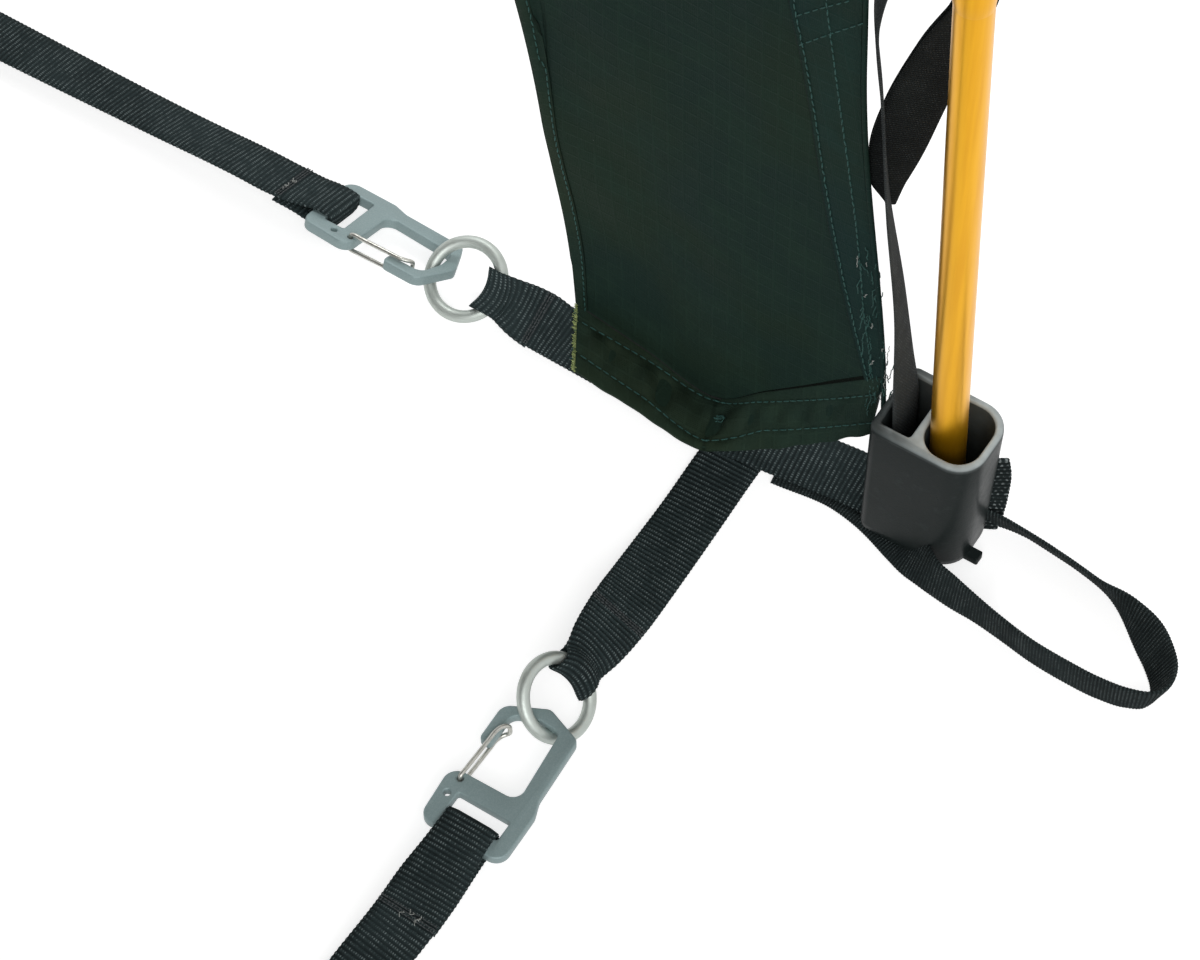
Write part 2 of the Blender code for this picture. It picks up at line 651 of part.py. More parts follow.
def cup(name, sx, sy):
    cy, hy = (CUP_Y0 + CUP_Y1) / 2, (CUP_Y1 - CUP_Y0) / 2
    rings = [plan(rounded(CUP_CX - 0.6, cy + 0.6, CUP_HX - 1.0, hy - 0.8, 9.5, 3.0, 4), CUP_Z0),
             plan(rounded(CUP_CX - 0.6, cy + 0.6, CUP_HX - 0.4, hy - 0.4, 9.5, 3.0, 4), CUP_Z0 + 1.2),
             plan(rounded(CUP_CX, cy, CUP_HX, hy, 9.5, 3.0, 4), CUP_Z1 - 1.0),
             plan(rounded(CUP_CX, cy, CUP_HX - 0.7, hy - 0.7, 9.0, 2.6, 4), CUP_Z1)]
    verts, faces = skin(put(rings, sx, sy))
    obj = add(name, verts, faces, "cup", False)
    lug = [plan(((-3.4, -83.8), (0.4, -83.8), (0.4, -76.0), (-3.4, -76.0)), z) for z in (CUP_Z0, CUP_Z0 + 3.2)]
    verts, faces = skin(put(lug, sx, sy))
    boolean(obj, cutter(name + "_lug", verts, faces), "UNION")
    x, y, hx, hyy = CHAMBER
    hole = [plan(rounded(x, y, hx, hyy, 7.5, 7.5, 3), z) for z in (CUP_Z0 + 2.2, CUP_Z1 + 3.0)]
    verts, faces = skin(put(hole, sx, sy))
    boolean(obj, cutter(name + "_chamber", verts, faces), "DIFFERENCE")
    a, b, c, d = TAPE_SLOT
    slot = [plan(((a, c), (b, c), (b, d), (a, d)), z) for z in (CUP_Z0 + 6.0, CUP_Z1 + 3.0)]
    verts, faces = skin(put(slot, sx, sy))
    boolean(obj, cutter(name + "_slot", verts, faces), "DIFFERENCE")
    return obj


# Tension tape from the cup's slot up to the buckle, where it turns round the lower bar.
LOOK = Vector((0.84, 0.54, 0.0)).normalized()
RIGHT = Vector((0.54, -0.84, 0.0)).normalized()
BUCKLE = Vector((-4.5, -42.5, 304.0))
BAR = 1.5


def buckle_frame():
    return (BUCKLE, LOOK, UP.copy(), RIGHT)


def tension_tape(name, sx, sy):
    turn = ((3.4, -51.0, CUP_Z0 + 6.0 + GAP, 0), (3.4, -51.0, 56.0, 0), (2.0, -49.6, 76.0, 8),
            (0.4, -46.8, 110.0, 20), (-2.4, -41.2, 158.0, 30), (-3.8, -37.2, 203.0, 33), (-4.2, -33.6, 243.0, 33))
    path = []
    for x, y, z, deg in turn:
        n = Vector((0.0, 1.0, 0.0)) * math.cos(math.radians(deg)) - Vector((1.0, 0.0, 0.0)) * math.sin(math.radians(deg))
        path.append((Vector((x, y, z)), n, TAPE_W, 0.0))
    bar = framed(buckle_frame(), 0.0, -8.5, 0.0)
    reach = BAR * 1.42 + GAP + TAPE_T / 2
    back = -RIGHT
    path.append((bar - UP * 30.0 + back * 0.6, back, TAPE_W, 0.0))
    path.append((bar - UP * 7.0 + back * 0.7, back, TAPE_W, 0.0))
    for deg in (-30, 0, 45, 90, 135, 180, 210):
        out = axis_mix(back, UP, deg)
        path.append((bar + out * reach, out, TAPE_W, 0.0))
    path.append((bar - UP * 7.0 - back * 0.7, -back, TAPE_W, 0.0))
    path.append((bar - UP * 28.0 - back * 0.6, -back, TAPE_W, 0.0))
    verts, faces = skin(put(band(path, TAPE_T, 1), sx, sy))
    return add(name, verts, faces, "tape", split=True)


def buckle(name, sx, sy):
    frame = buckle_frame()
    verts, faces = prism(frame, ((-11, -10), (11, -10), (11, 10), (-11, 10)), -BAR, BAR, sx, sy)
    obj = add(name, verts, faces, "buckle")
    for i, (low, high) in enumerate(((-7.0, -1.5), (1.5, 7.0))):
        shape = ((-8.3, low), (8.3, low), (8.3, high), (-8.3, high))
        verts, faces = prism(frame, shape, -4.0, 4.0, sx, sy)
        boolean(obj, cutter(name + "_window%d" % i, verts, faces), "DIFFERENCE")
    return obj


# Pull tab: a doubled strap that hangs outside the leg from the buckle's upper bar.
TAB = ((-2.3, -45.9, 295.5, 0), (3.0, -49.5, 280.0, 18), (9.5, -52.0, 262.0, 35), (12.0, -50.6, 240.0, 52),
       (12.0, -44.3, 213.0, 82), (11.0, -38.4, 186.0, 92), (8.5, -35.2, 148.0, 92))


def pull_tab(name, sx, sy):
    mids = []
    for x, y, z, deg in TAB:
        a = math.radians(deg)
        mids.append((Vector((x, y, z)), (RIGHT * math.cos(a) - LOOK * math.sin(a)).normalized()))
    gap = TAPE_T / 2 + 0.2
    path = [(p - n * gap, n, 16.0 if i < 2 else 19.0, 0.0) for i, (p, n) in enumerate(mids) if i > 0]
    tip, n = mids[-1]
    path.append((tip - UP * 1.2, -UP, 19.0, 0.0))
    for i, (p, n) in reversed(list(enumerate(mids))):
        path.append((p + n * gap, -n, 16.0 if i < 2 else 19.0, 0.0))
    bar = framed(buckle_frame(), 0.0, 8.5, 0.0)
    reach = BAR * 1.42 + GAP + TAPE_T / 2
    for deg in (-20, 25, 70, 115, 160, 205, 250):
        out = axis_mix(RIGHT, UP, deg)
        path.append((bar + out * reach, -out, TAPE_W, 0.0))
    verts, faces = skin(put(band(path, TAPE_T, 1), sx, sy))
    return add(name, verts, faces, "tape", split=True)


for label, sx, sy in CORNERS:
    corner_webbing("corner_webbing_" + label, sx, sy)
    peg_loop("peg_loop_" + label, sx, sy)
    cup("pole_cup_" + label, sx, sy)
    tension_tape("tension_tape_" + label, sx, sy)
    buckle("tension_buckle_" + label, sx, sy)
    pull_tab("pull_tab_" + label, sx, sy)
    ring("ring_side_" + label, sx, sy, FOLD_SIDE, SIDE_DIR, TILT_SIDE, ROLL_SIDE)
    ring("ring_end_" + label, sx, sy, FOLD_FRONT, FRONT_DIR, TILT_FRONT, ROLL_FRONT)
    for kind, part in (("side", "side"), ("end", "front")):
        hook("hook_%s_%s" % (kind, label), HOOK_FRAMES[part], sx, sy)
        gate("gate_%s_%s" % (kind, label), HOOK_FRAMES[part], sx, sy)

base_strap("base_strap_front", HOOK_FRAMES["front"], REST_FRONT, (1, -1), (-1, -1))
base_strap("base_strap_back", HOOK_FRAMES["front"], REST_FRONT, (1, 1), (-1, 1))
base_strap("base_strap_right", HOOK_FRAMES["side"], REST_SIDE, (1, -1), (1, 1))
base_strap("base_strap_left", HOOK_FRAMES["side"], REST_SIDE, (-1, -1), (-1, 1))
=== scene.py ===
import math

import bmesh
import bpy
import numpy as np
from mathutils import Matrix, Vector
from mathutils.bvhtree import BVHTree


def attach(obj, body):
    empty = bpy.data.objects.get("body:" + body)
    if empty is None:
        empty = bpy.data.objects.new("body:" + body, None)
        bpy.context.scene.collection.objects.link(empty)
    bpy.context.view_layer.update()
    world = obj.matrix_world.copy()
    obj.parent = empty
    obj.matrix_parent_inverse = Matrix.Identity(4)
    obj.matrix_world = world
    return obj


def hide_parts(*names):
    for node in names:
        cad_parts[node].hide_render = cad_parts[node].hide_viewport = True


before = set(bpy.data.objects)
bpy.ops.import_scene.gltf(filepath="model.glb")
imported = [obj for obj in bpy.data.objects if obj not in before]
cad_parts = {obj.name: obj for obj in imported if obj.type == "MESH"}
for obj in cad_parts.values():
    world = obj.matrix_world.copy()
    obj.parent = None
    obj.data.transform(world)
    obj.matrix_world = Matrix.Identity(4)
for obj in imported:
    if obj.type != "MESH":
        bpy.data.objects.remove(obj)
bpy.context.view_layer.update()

BODY = "tent"
MM = 0.001
UP = np.array((0.0, 0.0, 1.0))

# Sizes of the whole tent in metres, as in the part's source
FOOT_X, FOOT_Y, APEX_Z = 1.100, 0.900, 1.250
ARCH_POWER = 2.6
POLE_D, POLE_LEAN = 0.0110, 0.044
STRAIGHT_Z, BLEND_Z = 0.27, 0.55
SLEEVE_D, SLEEVE_Z = 0.0186, 0.32
CLOTH = 0.0006
SIDE_ARCH_Z, DOOR_ARCH_Z, DOOR_FOOT_Z = 0.50, 0.95, 0.30
EDGE = 0.0007
HALF = math.hypot(FOOT_X, FOOT_Y)
DIRX, DIRY = FOOT_X / HALF, FOOT_Y / HALF

# The upper pole rises over the lower one from this far out, over this stretch
POLE_LIFT = SLEEVE_D + 0.0012
LIFT_FROM, LIFT_OVER = 0.8, 0.6

# Sizes of one corner in millimetres, from the point where its two base straps meet
FOOT = (3.6, -68.0, 6.2)
JX, JY = FOOT_X - FOOT[0] * MM, FOOT_Y + FOOT[1] * MM
WEB_W, WEB_T = 20.0, 1.3
RIB_PITCH, RIB_HEIGHT = 1.6, 0.12
RING_R, WIRE_R, RING_SPAN = 12.0, 2.05, 23.2
HOOK_T, HOOK_EDGE = 3.6, 0.55
GATE_R = 0.7
TAPE_W, TAPE_T = 15.0, 0.9
LOOP_W = 15.0
LEAST_Z = 0.2
CORNERS = (("front_right", 1, -1), ("front_left", -1, -1), ("back_left", -1, 1), ("back_right", 1, 1))

# How far apart a ribbon's rows of points are: on ribbed webbing and on flat tape, in millimetres
RIB_STEP, FLAT_STEP = 0.32, 1.1


# Materials
class Number:
    """A number in a material; arithmetic on it adds Math nodes."""

    def __init__(self, look, socket):
        self.look, self.socket = look, socket

    def math(self, operation, *others):
        return self.look.math(operation, self, *others)

    def __add__(self, other):
        return self.math("ADD", other)

    def __sub__(self, other):
        return self.math("SUBTRACT", other)

    def __rsub__(self, other):
        return self.look.math("SUBTRACT", other, self)

    def __mul__(self, other):
        return self.math("MULTIPLY", other)

    def __truediv__(self, other):
        return self.math("DIVIDE", other)

    __radd__, __rmul__ = __add__, __mul__

    def wave(self):
        """1 at whole numbers and 0 halfway between them."""
        return (self * (2 * math.pi)).math("COSINE") * 0.5 + 0.5

    def ramp(self, low, high):
        """0 below low, 1 above high and smooth between."""
        return Number(self.look, self.look.node(
            "ShaderNodeMapRange", {"interpolation_type": "SMOOTHSTEP"}, self, low, high, 0.0, 1.0).outputs[0])


class Look:
    """One material: a Principled shader with plain values, and methods that add nodes."""

    def __init__(self, name, colour, metallic, roughness, **plain):
        self.mat = bpy.data.materials.new(name)
        self.mat.use_nodes = True
        self.tree = self.mat.node_tree
        self.shader = self.tree.nodes["Principled BSDF"]
        self.feed("Base Color", (*colour, 1.0))
        self.feed("Metallic", metallic)
        self.feed("Roughness", roughness)
        for socket, value in plain.items():
            self.feed(socket.replace("_", " "), value)

    def link(self, socket, value):
        if isinstance(value, Number):
            value = value.socket
        if isinstance(value, bpy.types.NodeSocket):
            self.tree.links.new(value, socket)
        else:
            socket.default_value = value

    def feed(self, socket, value):
        self.link(self.shader.inputs[socket], value)

    def node(self, kind, settings, *values, **named):
        made = self.tree.nodes.new(kind)
        for key, value in settings.items():
            setattr(made, key, value)
        for socket, value in zip(made.inputs, values):
            self.link(socket, value)
        for key, value in named.items():
            self.link(made.inputs[key], value)
        return made

    def math(self, operation, *values):
        return Number(self, self.node("ShaderNodeMath", {"operation": operation}, *values).outputs[0])

    def read(self, attribute):
        return Number(self, self.node("ShaderNodeAttribute", {"attribute_name": attribute}).outputs["Fac"])

    def place(self):
        return self.node("ShaderNodeTexCoord", {}).outputs["Object"]

    def stretched(self, x, y, z):
        times = {"operation": "MULTIPLY"}
        return self.node("ShaderNodeVectorMath", times, self.place(), (x, y, z)).outputs[0]

    def noise(self, scale, detail=2.0, at=None):
        made = self.node("ShaderNodeTexNoise", {}, Vector=at or self.place(), Scale=scale, Detail=detail)
        return Number(self, made.outputs[0])

    def cells(self, scale, at=None):
        made = self.node("ShaderNodeTexVoronoi", {}, Vector=at or self.place(), Scale=scale)
        return Number(self, made.outputs["Distance"])

    def mix(self, factor, a, b):
        made = self.node("ShaderNodeMix", {"data_type": "RGBA"})
        for index, value in ((0, factor), (6, a), (7, b)):
            if isinstance(value, tuple):
                value = (*value, 1.0)
            self.link(made.inputs[index], value)
        return made.outputs[2]

    def bump(self, height, strength, depth):
        made = self.node("ShaderNodeBump", {}, Strength=strength, Distance=depth, Height=height)
        self.feed("Normal", made.outputs[0])


def tint(colour, amount):
    return tuple(amount * c for c in colour)


def webbing_look(name, dark, light, pitch, bead, glint_strength, rough):
    """Ribbed webbing: ribs across the strap, each a row of beads, with a painted highlight as light specks on
    the beads and painted shade in the troughs between the ribs.
    """
    look = Look(name, dark, 0.0, rough, Specular_IOR_Level=0.12)
    row = look.read("along") / (pitch * MM)
    crest = row.wave()
    odd = (row + 0.5).math("FLOOR") * 0.5
    fuzz = look.noise(1100.0, 3.0)
    bead_scatter = look.noise(210.0, 4.0)
    beads = (look.read("across") / (bead * MM) + odd + bead_scatter * 1.6).wave()
    # Painted highlight: light specks where the beads would catch the light, mixed toward the light colour
    painted_glint = (crest * beads).ramp(0.30, 0.92) * (bead_scatter * fuzz).ramp(0.17, 0.36)
    # Painted shade: the troughs between the ribs darker and the crests lighter
    base = look.mix(crest * 0.8 + fuzz * 0.35, tint(dark, 0.34), tint(dark, 1.5))
    patchy = look.mix(look.noise(38.0).ramp(0.35, 0.7) * 0.35, base, tint(dark, 2.0))
    look.feed("Base Color", look.mix(painted_glint * glint_strength, patchy, light))
    look.feed("Roughness", 0.96 - painted_glint * 0.35 - fuzz * 0.1)
    look.bump(crest * 0.5 + beads * crest * 0.5 + fuzz * 0.35, 0.9, 0.0004)
    return look


# The light colour is the webbing's painted highlight on its beads
WEBBING_DARK, WEBBING_GLINT_COLOUR = (0.0215, 0.0320, 0.0330), (0.215, 0.260, 0.260)
WEB = webbing_look("ribbed_webbing", WEBBING_DARK, WEBBING_GLINT_COLOUR, RIB_PITCH, 0.8, 0.85, 0.85)
BASE = webbing_look("base_strap_webbing", WEBBING_DARK, WEBBING_GLINT_COLOUR, RIB_PITCH, 0.8, 0.85, 0.85)
LOOP_LOOK = webbing_look("peg_loop_webbing", (0.0175, 0.0245, 0.0250), (0.15, 0.175, 0.175),
                         1.1, 0.8, 0.6, 0.85)
COARSE = webbing_look("coarse_webbing", (0.0130, 0.0180, 0.0185), (0.30, 0.34, 0.34), 2.0, 1.9, 0.9, 0.6)
TAPE = webbing_look("flat_tape", (0.0340, 0.0390, 0.0400), (0.13, 0.14, 0.14), 0.9, 0.9, 0.5, 0.75)
TAB_LOOK = webbing_look("pull_tab_tape", (0.0125, 0.0150, 0.0148), (0.060, 0.068, 0.068),
                        0.9, 0.9, 0.5, 0.75)

RIPSTOP, WEAVE = 0.0052, 0.00062


def cloth_look(name, colour, cool, warm, grid):
    """Coated ripstop cloth with slow shifts of colour, a faint square grid and painted shade in its folds,
    stitch grooves and seam edges.
    """
    look = Look(name, colour, 0.0, 0.62, Specular_IOR_Level=0.04)
    blot = look.noise(13.0, 5.0)
    small = look.noise(60.0, 4.0)
    thread = look.noise(1500.0, 2.0)
    across, along = look.read("across"), look.read("along")
    lines = (across / RIPSTOP).wave().ramp(0.90, 1.0)
    rows = (along / RIPSTOP).wave().ramp(0.90, 1.0)
    square = lines.math("MAXIMUM", rows)
    weft = (along / WEAVE).wave() * 0.5 + (across / WEAVE).wave() * 0.5
    base = look.mix(blot.ramp(0.42, 0.60), cool, warm)
    base = look.mix(small.ramp(0.45, 0.68) * 0.5, base, tint(colour, 1.35))
    base = look.mix(square * grid * small.ramp(0.3, 0.6), base, tint(colour, 2.1))
    base = look.mix(thread.ramp(0.45, 0.8) * 0.3, base, tint(colour, 0.65))
    dust = look.cells(95.0).math("LESS_THAN", 0.018) * blot.ramp(0.5, 0.6)
    base = look.mix(dust * 0.6, base, (0.16, 0.19, 0.16))
    # Painted shade: where the shade attribute is set, the colour darkens toward an eighth of its own
    look.feed("Base Color", look.mix(look.read("shade"), base, tint(colour, 0.12)))
    look.feed("Roughness", 0.50 + small * 0.22 + thread * 0.1)
    look.bump(weft * 0.3 + square * 0.4 + thread * 0.4 + small * 1.6 + blot * 2.5, 0.5, 0.0005)
    return look


FLY = cloth_look("fly_cloth", (0.0150, 0.0315, 0.0225),
                 (0.0134, 0.0298, 0.0242), (0.0162, 0.0318, 0.0210), 0.13)
HEM = cloth_look("fly_hem_cloth", (0.0205, 0.0385, 0.0265),
                 (0.0185, 0.0375, 0.0290), (0.0235, 0.0385, 0.0235), 0.12)
BINDING = cloth_look("fly_binding_cloth", (0.0145, 0.0345, 0.0295),
                     (0.0130, 0.0330, 0.0300), (0.0165, 0.0350, 0.0265), 0.10)
SLEEVE = cloth_look("sleeve_cloth", (0.0155, 0.0330, 0.0245),
                    (0.0135, 0.0315, 0.0260), (0.0175, 0.0330, 0.0220), 0.12)


def thread_look(name, colour, light):
    """A thread of twisted fibres, from its own colour to a lighter one."""
    look = Look(name, colour, 0.0, 0.7)
    fuzz = look.noise(2600.0, 2.0)
    look.feed("Base Color", look.mix(fuzz.ramp(0.35, 0.7), colour, light))
    look.feed("Roughness", 0.6 + fuzz * 0.25)
    look.bump(fuzz, 0.4, 0.0001)
    return look


TEAL = thread_look("teal_thread", (0.010, 0.054, 0.046), (0.036, 0.124, 0.106))
BLACK = thread_look("black_thread", (0.018, 0.024, 0.026), (0.075, 0.085, 0.088))
# Not a thread: a painted shadow, the dark tubes laid under the hem's fold
FOLD = thread_look("fold_shadow", (0.0020, 0.0036, 0.0030), (0.0040, 0.0062, 0.0052))
PALE = thread_look("pale_thread", (0.30, 0.32, 0.30), (0.55, 0.57, 0.54))
FRAYED = thread_look("frayed_cloth_end", (0.19, 0.26, 0.085), (0.58, 0.66, 0.27))

HOOK = Look("anodised_hook", (0.230, 0.315, 0.318), 0.2, 0.42, Specular_IOR_Level=0.5)
grain, cloud = HOOK.noise(2400.0, 2.0), HOOK.noise(90.0, 3.0)
HOOK.feed("Base Color", HOOK.mix(grain.ramp(0.3, 0.75) * 0.55 + cloud * 0.3,
                                 (0.250, 0.338, 0.342), (0.335, 0.430, 0.434)))
HOOK.feed("Roughness", 0.36 + cloud * 0.14 + grain * 0.08)
HOOK.bump(grain, 0.16, 0.0001)

RING = Look("satin_ring", (0.50, 0.54, 0.51), 0.72, 0.46)
brushed = RING.noise(700.0, 3.0, RING.stretched(1.0, 1.0, 5.0))
tarnish = RING.noise(120.0, 3.0)
RING.feed("Base Color", RING.mix(tarnish.ramp(0.4, 0.75) * 0.55, (0.52, 0.565, 0.53), (0.37, 0.40, 0.365)))
RING.feed("Roughness", 0.38 + brushed * 0.22)
RING.bump(brushed, 0.14, 0.0001)

WIRE = Look("gate_wire", (0.42, 0.42, 0.39), 0.85, 0.30)
drawn_wire = WIRE.noise(900.0, 3.0)
WIRE.feed("Base Color", WIRE.mix(drawn_wire.ramp(0.4, 0.8) * 0.5, (0.52, 0.52, 0.48), (0.26, 0.25, 0.22)))
WIRE.feed("Roughness", 0.22 + drawn_wire * 0.2)
WIRE.bump(drawn_wire, 0.1, 0.0001)

GOLD = Look("gold_pole", (0.78, 0.39, 0.008), 0.85, 0.28)
streaks = GOLD.noise(420.0, 3.0, GOLD.stretched(1.0, 1.0, 0.04))
haze = GOLD.noise(60.0, 3.0)
GOLD.feed("Base Color", GOLD.mix(streaks.ramp(0.3, 0.75) * 0.5 + haze * 0.2,
                                 (0.83, 0.420, 0.008), (0.66, 0.300, 0.005)))
GOLD.feed("Roughness", 0.24 + streaks * 0.16)
GOLD.bump(streaks, 0.08, 0.0001)

CUP = Look("moulded_cup", (0.0105, 0.0145, 0.0142), 0.0, 0.32, Specular_IOR_Level=0.055)
texture, scuff = CUP.cells(1500.0), CUP.noise(240.0, 4.0)
worn_cup = CUP.mix(scuff.ramp(0.52, 0.8) * 0.35, (0.0130, 0.0178, 0.0174), (0.036, 0.045, 0.044))
# Painted highlight: where the shade attribute is set, on the rim, the colour goes toward light grey
CUP.feed("Base Color", CUP.mix(CUP.read("shade") * (scuff * 0.5 + 0.5), worn_cup, (0.70, 0.77, 0.77)))
CUP.feed("Roughness", 0.20 + scuff * 0.2 + texture * 0.08)
CUP.bump(texture * 0.5 + scuff * 0.6, 0.16, 0.0002)

BUCKLE = Look("moulded_buckle", (0.014, 0.016, 0.017), 0.0, 0.36, Specular_IOR_Level=0.35)
grit = BUCKLE.noise(1300.0, 3.0)
BUCKLE.feed("Base Color", BUCKLE.mix(grit.ramp(0.5, 0.8) * 0.5, (0.014, 0.016, 0.017), (0.032, 0.036, 0.037)))
BUCKLE.feed("Roughness", 0.28 + grit * 0.22)
BUCKLE.bump(grit, 0.15, 0.0001)


# Meshes
def unit(v):
    return v / np.maximum(np.linalg.norm(v, axis=-1, keepdims=True), 1e-12)


def flow(rows, at):
    """A smooth line through rows of numbers, the first three a place; at is a step or a list of distances."""
    p = np.array(rows, float)
    d = np.linalg.norm(np.diff(p[:, :3], axis=0), axis=1)
    s = np.concatenate([[0.0], np.cumsum(d)])
    slope = np.diff(p, axis=0) / d[:, None]
    m = np.empty_like(p)
    m[0], m[-1] = slope[0], slope[-1]
    near = (d[1:] / (d[:-1] + d[1:]))[:, None]
    m[1:-1] = slope[:-1] * near + slope[1:] * (1 - near)
    if np.isscalar(at):
        at = np.linspace(0, s[-1], max(2, int(round(s[-1] / at)) + 1))
    i = np.clip(np.searchsorted(s, at, side="right") - 1, 0, len(d) - 1)
    h = d[i][:, None]
    x = ((at - s[i]) / d[i])[:, None]
    return ((2 * x ** 3 - 3 * x * x + 1) * p[i] + (x ** 3 - 2 * x * x + x) * h * m[i]
            + (3 * x * x - 2 * x ** 3) * p[i + 1] + (x ** 3 - x * x) * h * m[i + 1])


def length_of(rows):
    return float(np.linalg.norm(np.diff(np.array(rows, float)[:, :3], axis=0), axis=1).sum())


def run_along(points):
    """The distance along a line of points, at each of them."""
    return np.concatenate([[0.0], np.cumsum(np.linalg.norm(np.diff(points, axis=0), axis=1))])


def smooth(t):
    t = np.clip(t, 0.0, 1.0)
    return t * t * (3 - 2 * t)


KEYS = ("along", "across", "shade")


class Shape:
    """Vertices and faces with two cloth coordinates and, at each vertex, a painted shade from 0 to 1, which
    on the cup paints a highlight on the rim instead.
    """

    def __init__(self, verts, faces, along=None, across=None):
        self.verts = np.array(verts, float)
        self.faces = list(faces)
        n = len(self.verts)
        self.along = np.zeros(n) if along is None else np.array(along, float)
        self.across = np.zeros(n) if across is None else np.array(across, float)
        self.shade = np.zeros(n)

    def placed(self, verts, flip=False, scale=1.0):
        """The same shape at other points; flip turns its faces over, as after a mirror."""
        faces = [f[::-1] for f in self.faces] if flip else self.faces
        made = Shape(verts, faces, self.along * scale, self.across * scale)
        made.shade = self.shade
        return made

    def outward(self):
        """Turns the faces of a closed shape so that they look outward."""
        total = 0.0
        for sides in {len(f) for f in self.faces}:
            v = self.verts[np.array([f for f in self.faces if len(f) == sides])]
            for k in range(1, sides - 1):
                total += float(np.einsum("ij,ij->", v[:, 0], np.cross(v[:, k], v[:, k + 1])))
        if total < 0:
            self.faces = [f[::-1] for f in self.faces]
        return self


def joined(shapes):
    faces, base = [], 0
    for s in shapes:
        faces += [tuple(k + base for k in f) for f in s.faces]
        base += len(s.verts)
    made = Shape(np.concatenate([s.verts for s in shapes]), faces)
    for key in KEYS:
        setattr(made, key, np.concatenate([getattr(s, key) for s in shapes]))
    return made


def loft(rings, along=None, across=None, closed=False, caps=True):
    """Quads between successive closed rings, with a cap at each end."""
    rings = np.array(rings, float)
    count, n = rings.shape[:2]
    k = np.arange(n)
    faces = []
    for i in range(count if closed else count - 1):
        a, b = i * n, ((i + 1) % count) * n
        faces += np.stack([a + k, a + (k + 1) % n, b + (k + 1) % n, b + k], axis=1).tolist()
    if caps and not closed:
        faces += [tuple(range(n - 1, -1, -1)), tuple((count - 1) * n + j for j in range(n))]
    along = None if along is None else np.repeat(along, n)
    across = None if across is None else np.tile(across, count)
    return Shape(rings.reshape(-1, 3), faces, along, across).outward()


def ribbon(rows, thick, at, cols, axis=None, radius=None):
    """A closed flat band; rows hold a place, a normal, a width and how far the band bows round a ring."""
    if np.isscalar(at):
        at = np.arange(0.0, length_of(rows), at)
    q = flow(rows, at)
    p, n, w, lead = q[:, :3], q[:, 3:6], q[:, 6], q[:, 7]
    t = unit(np.gradient(p, axis=0))
    side = unit(np.cross(n, t))
    up = np.cross(t, side)
    part = np.linspace(-0.5, 0.5, cols + 1)
    off = part[None, :] * w[:, None]
    bow = np.zeros(off.shape + (3,))
    if axis is not None:
        reach = radius - np.sqrt(np.maximum(radius ** 2 - off ** 2, 0.0))
        bow = (lead[:, None] * reach)[..., None] * np.array(axis)
    body = 0.5 * thick * (1 - 0.55 * np.abs(2 * part) ** 10)
    mid = p[:, None, :] + side[:, None, :] * off[..., None] + bow
    rise = up[:, None, :] * body[None, :, None]
    rings = np.concatenate([mid + rise, (mid - rise)[:, ::-1]], axis=1)
    rings[..., 2] = np.maximum(rings[..., 2], LEAST_Z)
    made = loft(rings, at)
    made.across = np.concatenate([off, off[:, ::-1]], axis=1).ravel()
    return made


def tube(points, radius, sides, start=(0.0, 0.0, 1.0), caps=True):
    p = np.array(points, float)
    r = np.broadcast_to(radius, len(p))
    t = unit(np.gradient(p, axis=0))
    turn = 2 * np.pi * np.arange(sides) / sides
    rings, spot = [], np.array(start, float)
    for i in range(len(p)):
        spot = unit(spot - t[i] * spot.dot(t[i]))
        other = np.cross(t[i], spot)
        rings.append(p[i] + r[i] * (np.cos(turn)[:, None] * spot + np.sin(turn)[:, None] * other))
    return loft(rings, run_along(p), r.mean() * turn, caps=caps)


def mesh_of(name, shape):
    mesh = bpy.data.meshes.new(name)
    mesh.from_pydata(shape.verts.tolist(), [], shape.faces)
    for key in KEYS:
        layer = mesh.attributes.new(key, "FLOAT", "POINT")
        layer.data.foreach_set("value", getattr(shape, key).astype(np.float32))
    mesh.shade_smooth()
    return mesh


def at_corner(points, sx=1, sy=1):
    """Places of one of the four corners in metres of the tent, from its own millimetres."""
    p = np.array(points, float) * MM
    return np.stack([sx * (JX + p[..., 0]), sy * (JY - p[..., 1]), p[..., 2]], axis=-1)


def to_corner(shape, sx, sy):
    """The same shape at one of the four corners, in metres."""
    return shape.placed(at_corner(shape.verts, sx, sy), sx * sy > 0, MM)


def piece(name, mesh, look, body=BODY, instead=(), creases=None):
    """A finished piece that rides on a body and stands for CAD nodes."""
    if creases is not None:
        mesh.set_sharp_from_angle(angle=math.radians(creases))
    mesh.materials.clear()
    mesh.materials.append(look.mat)
    obj = bpy.data.objects.new(name, mesh)
    bpy.context.scene.collection.objects.link(obj)
    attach(obj, body)
    if instead:
        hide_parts(*instead)
    return obj


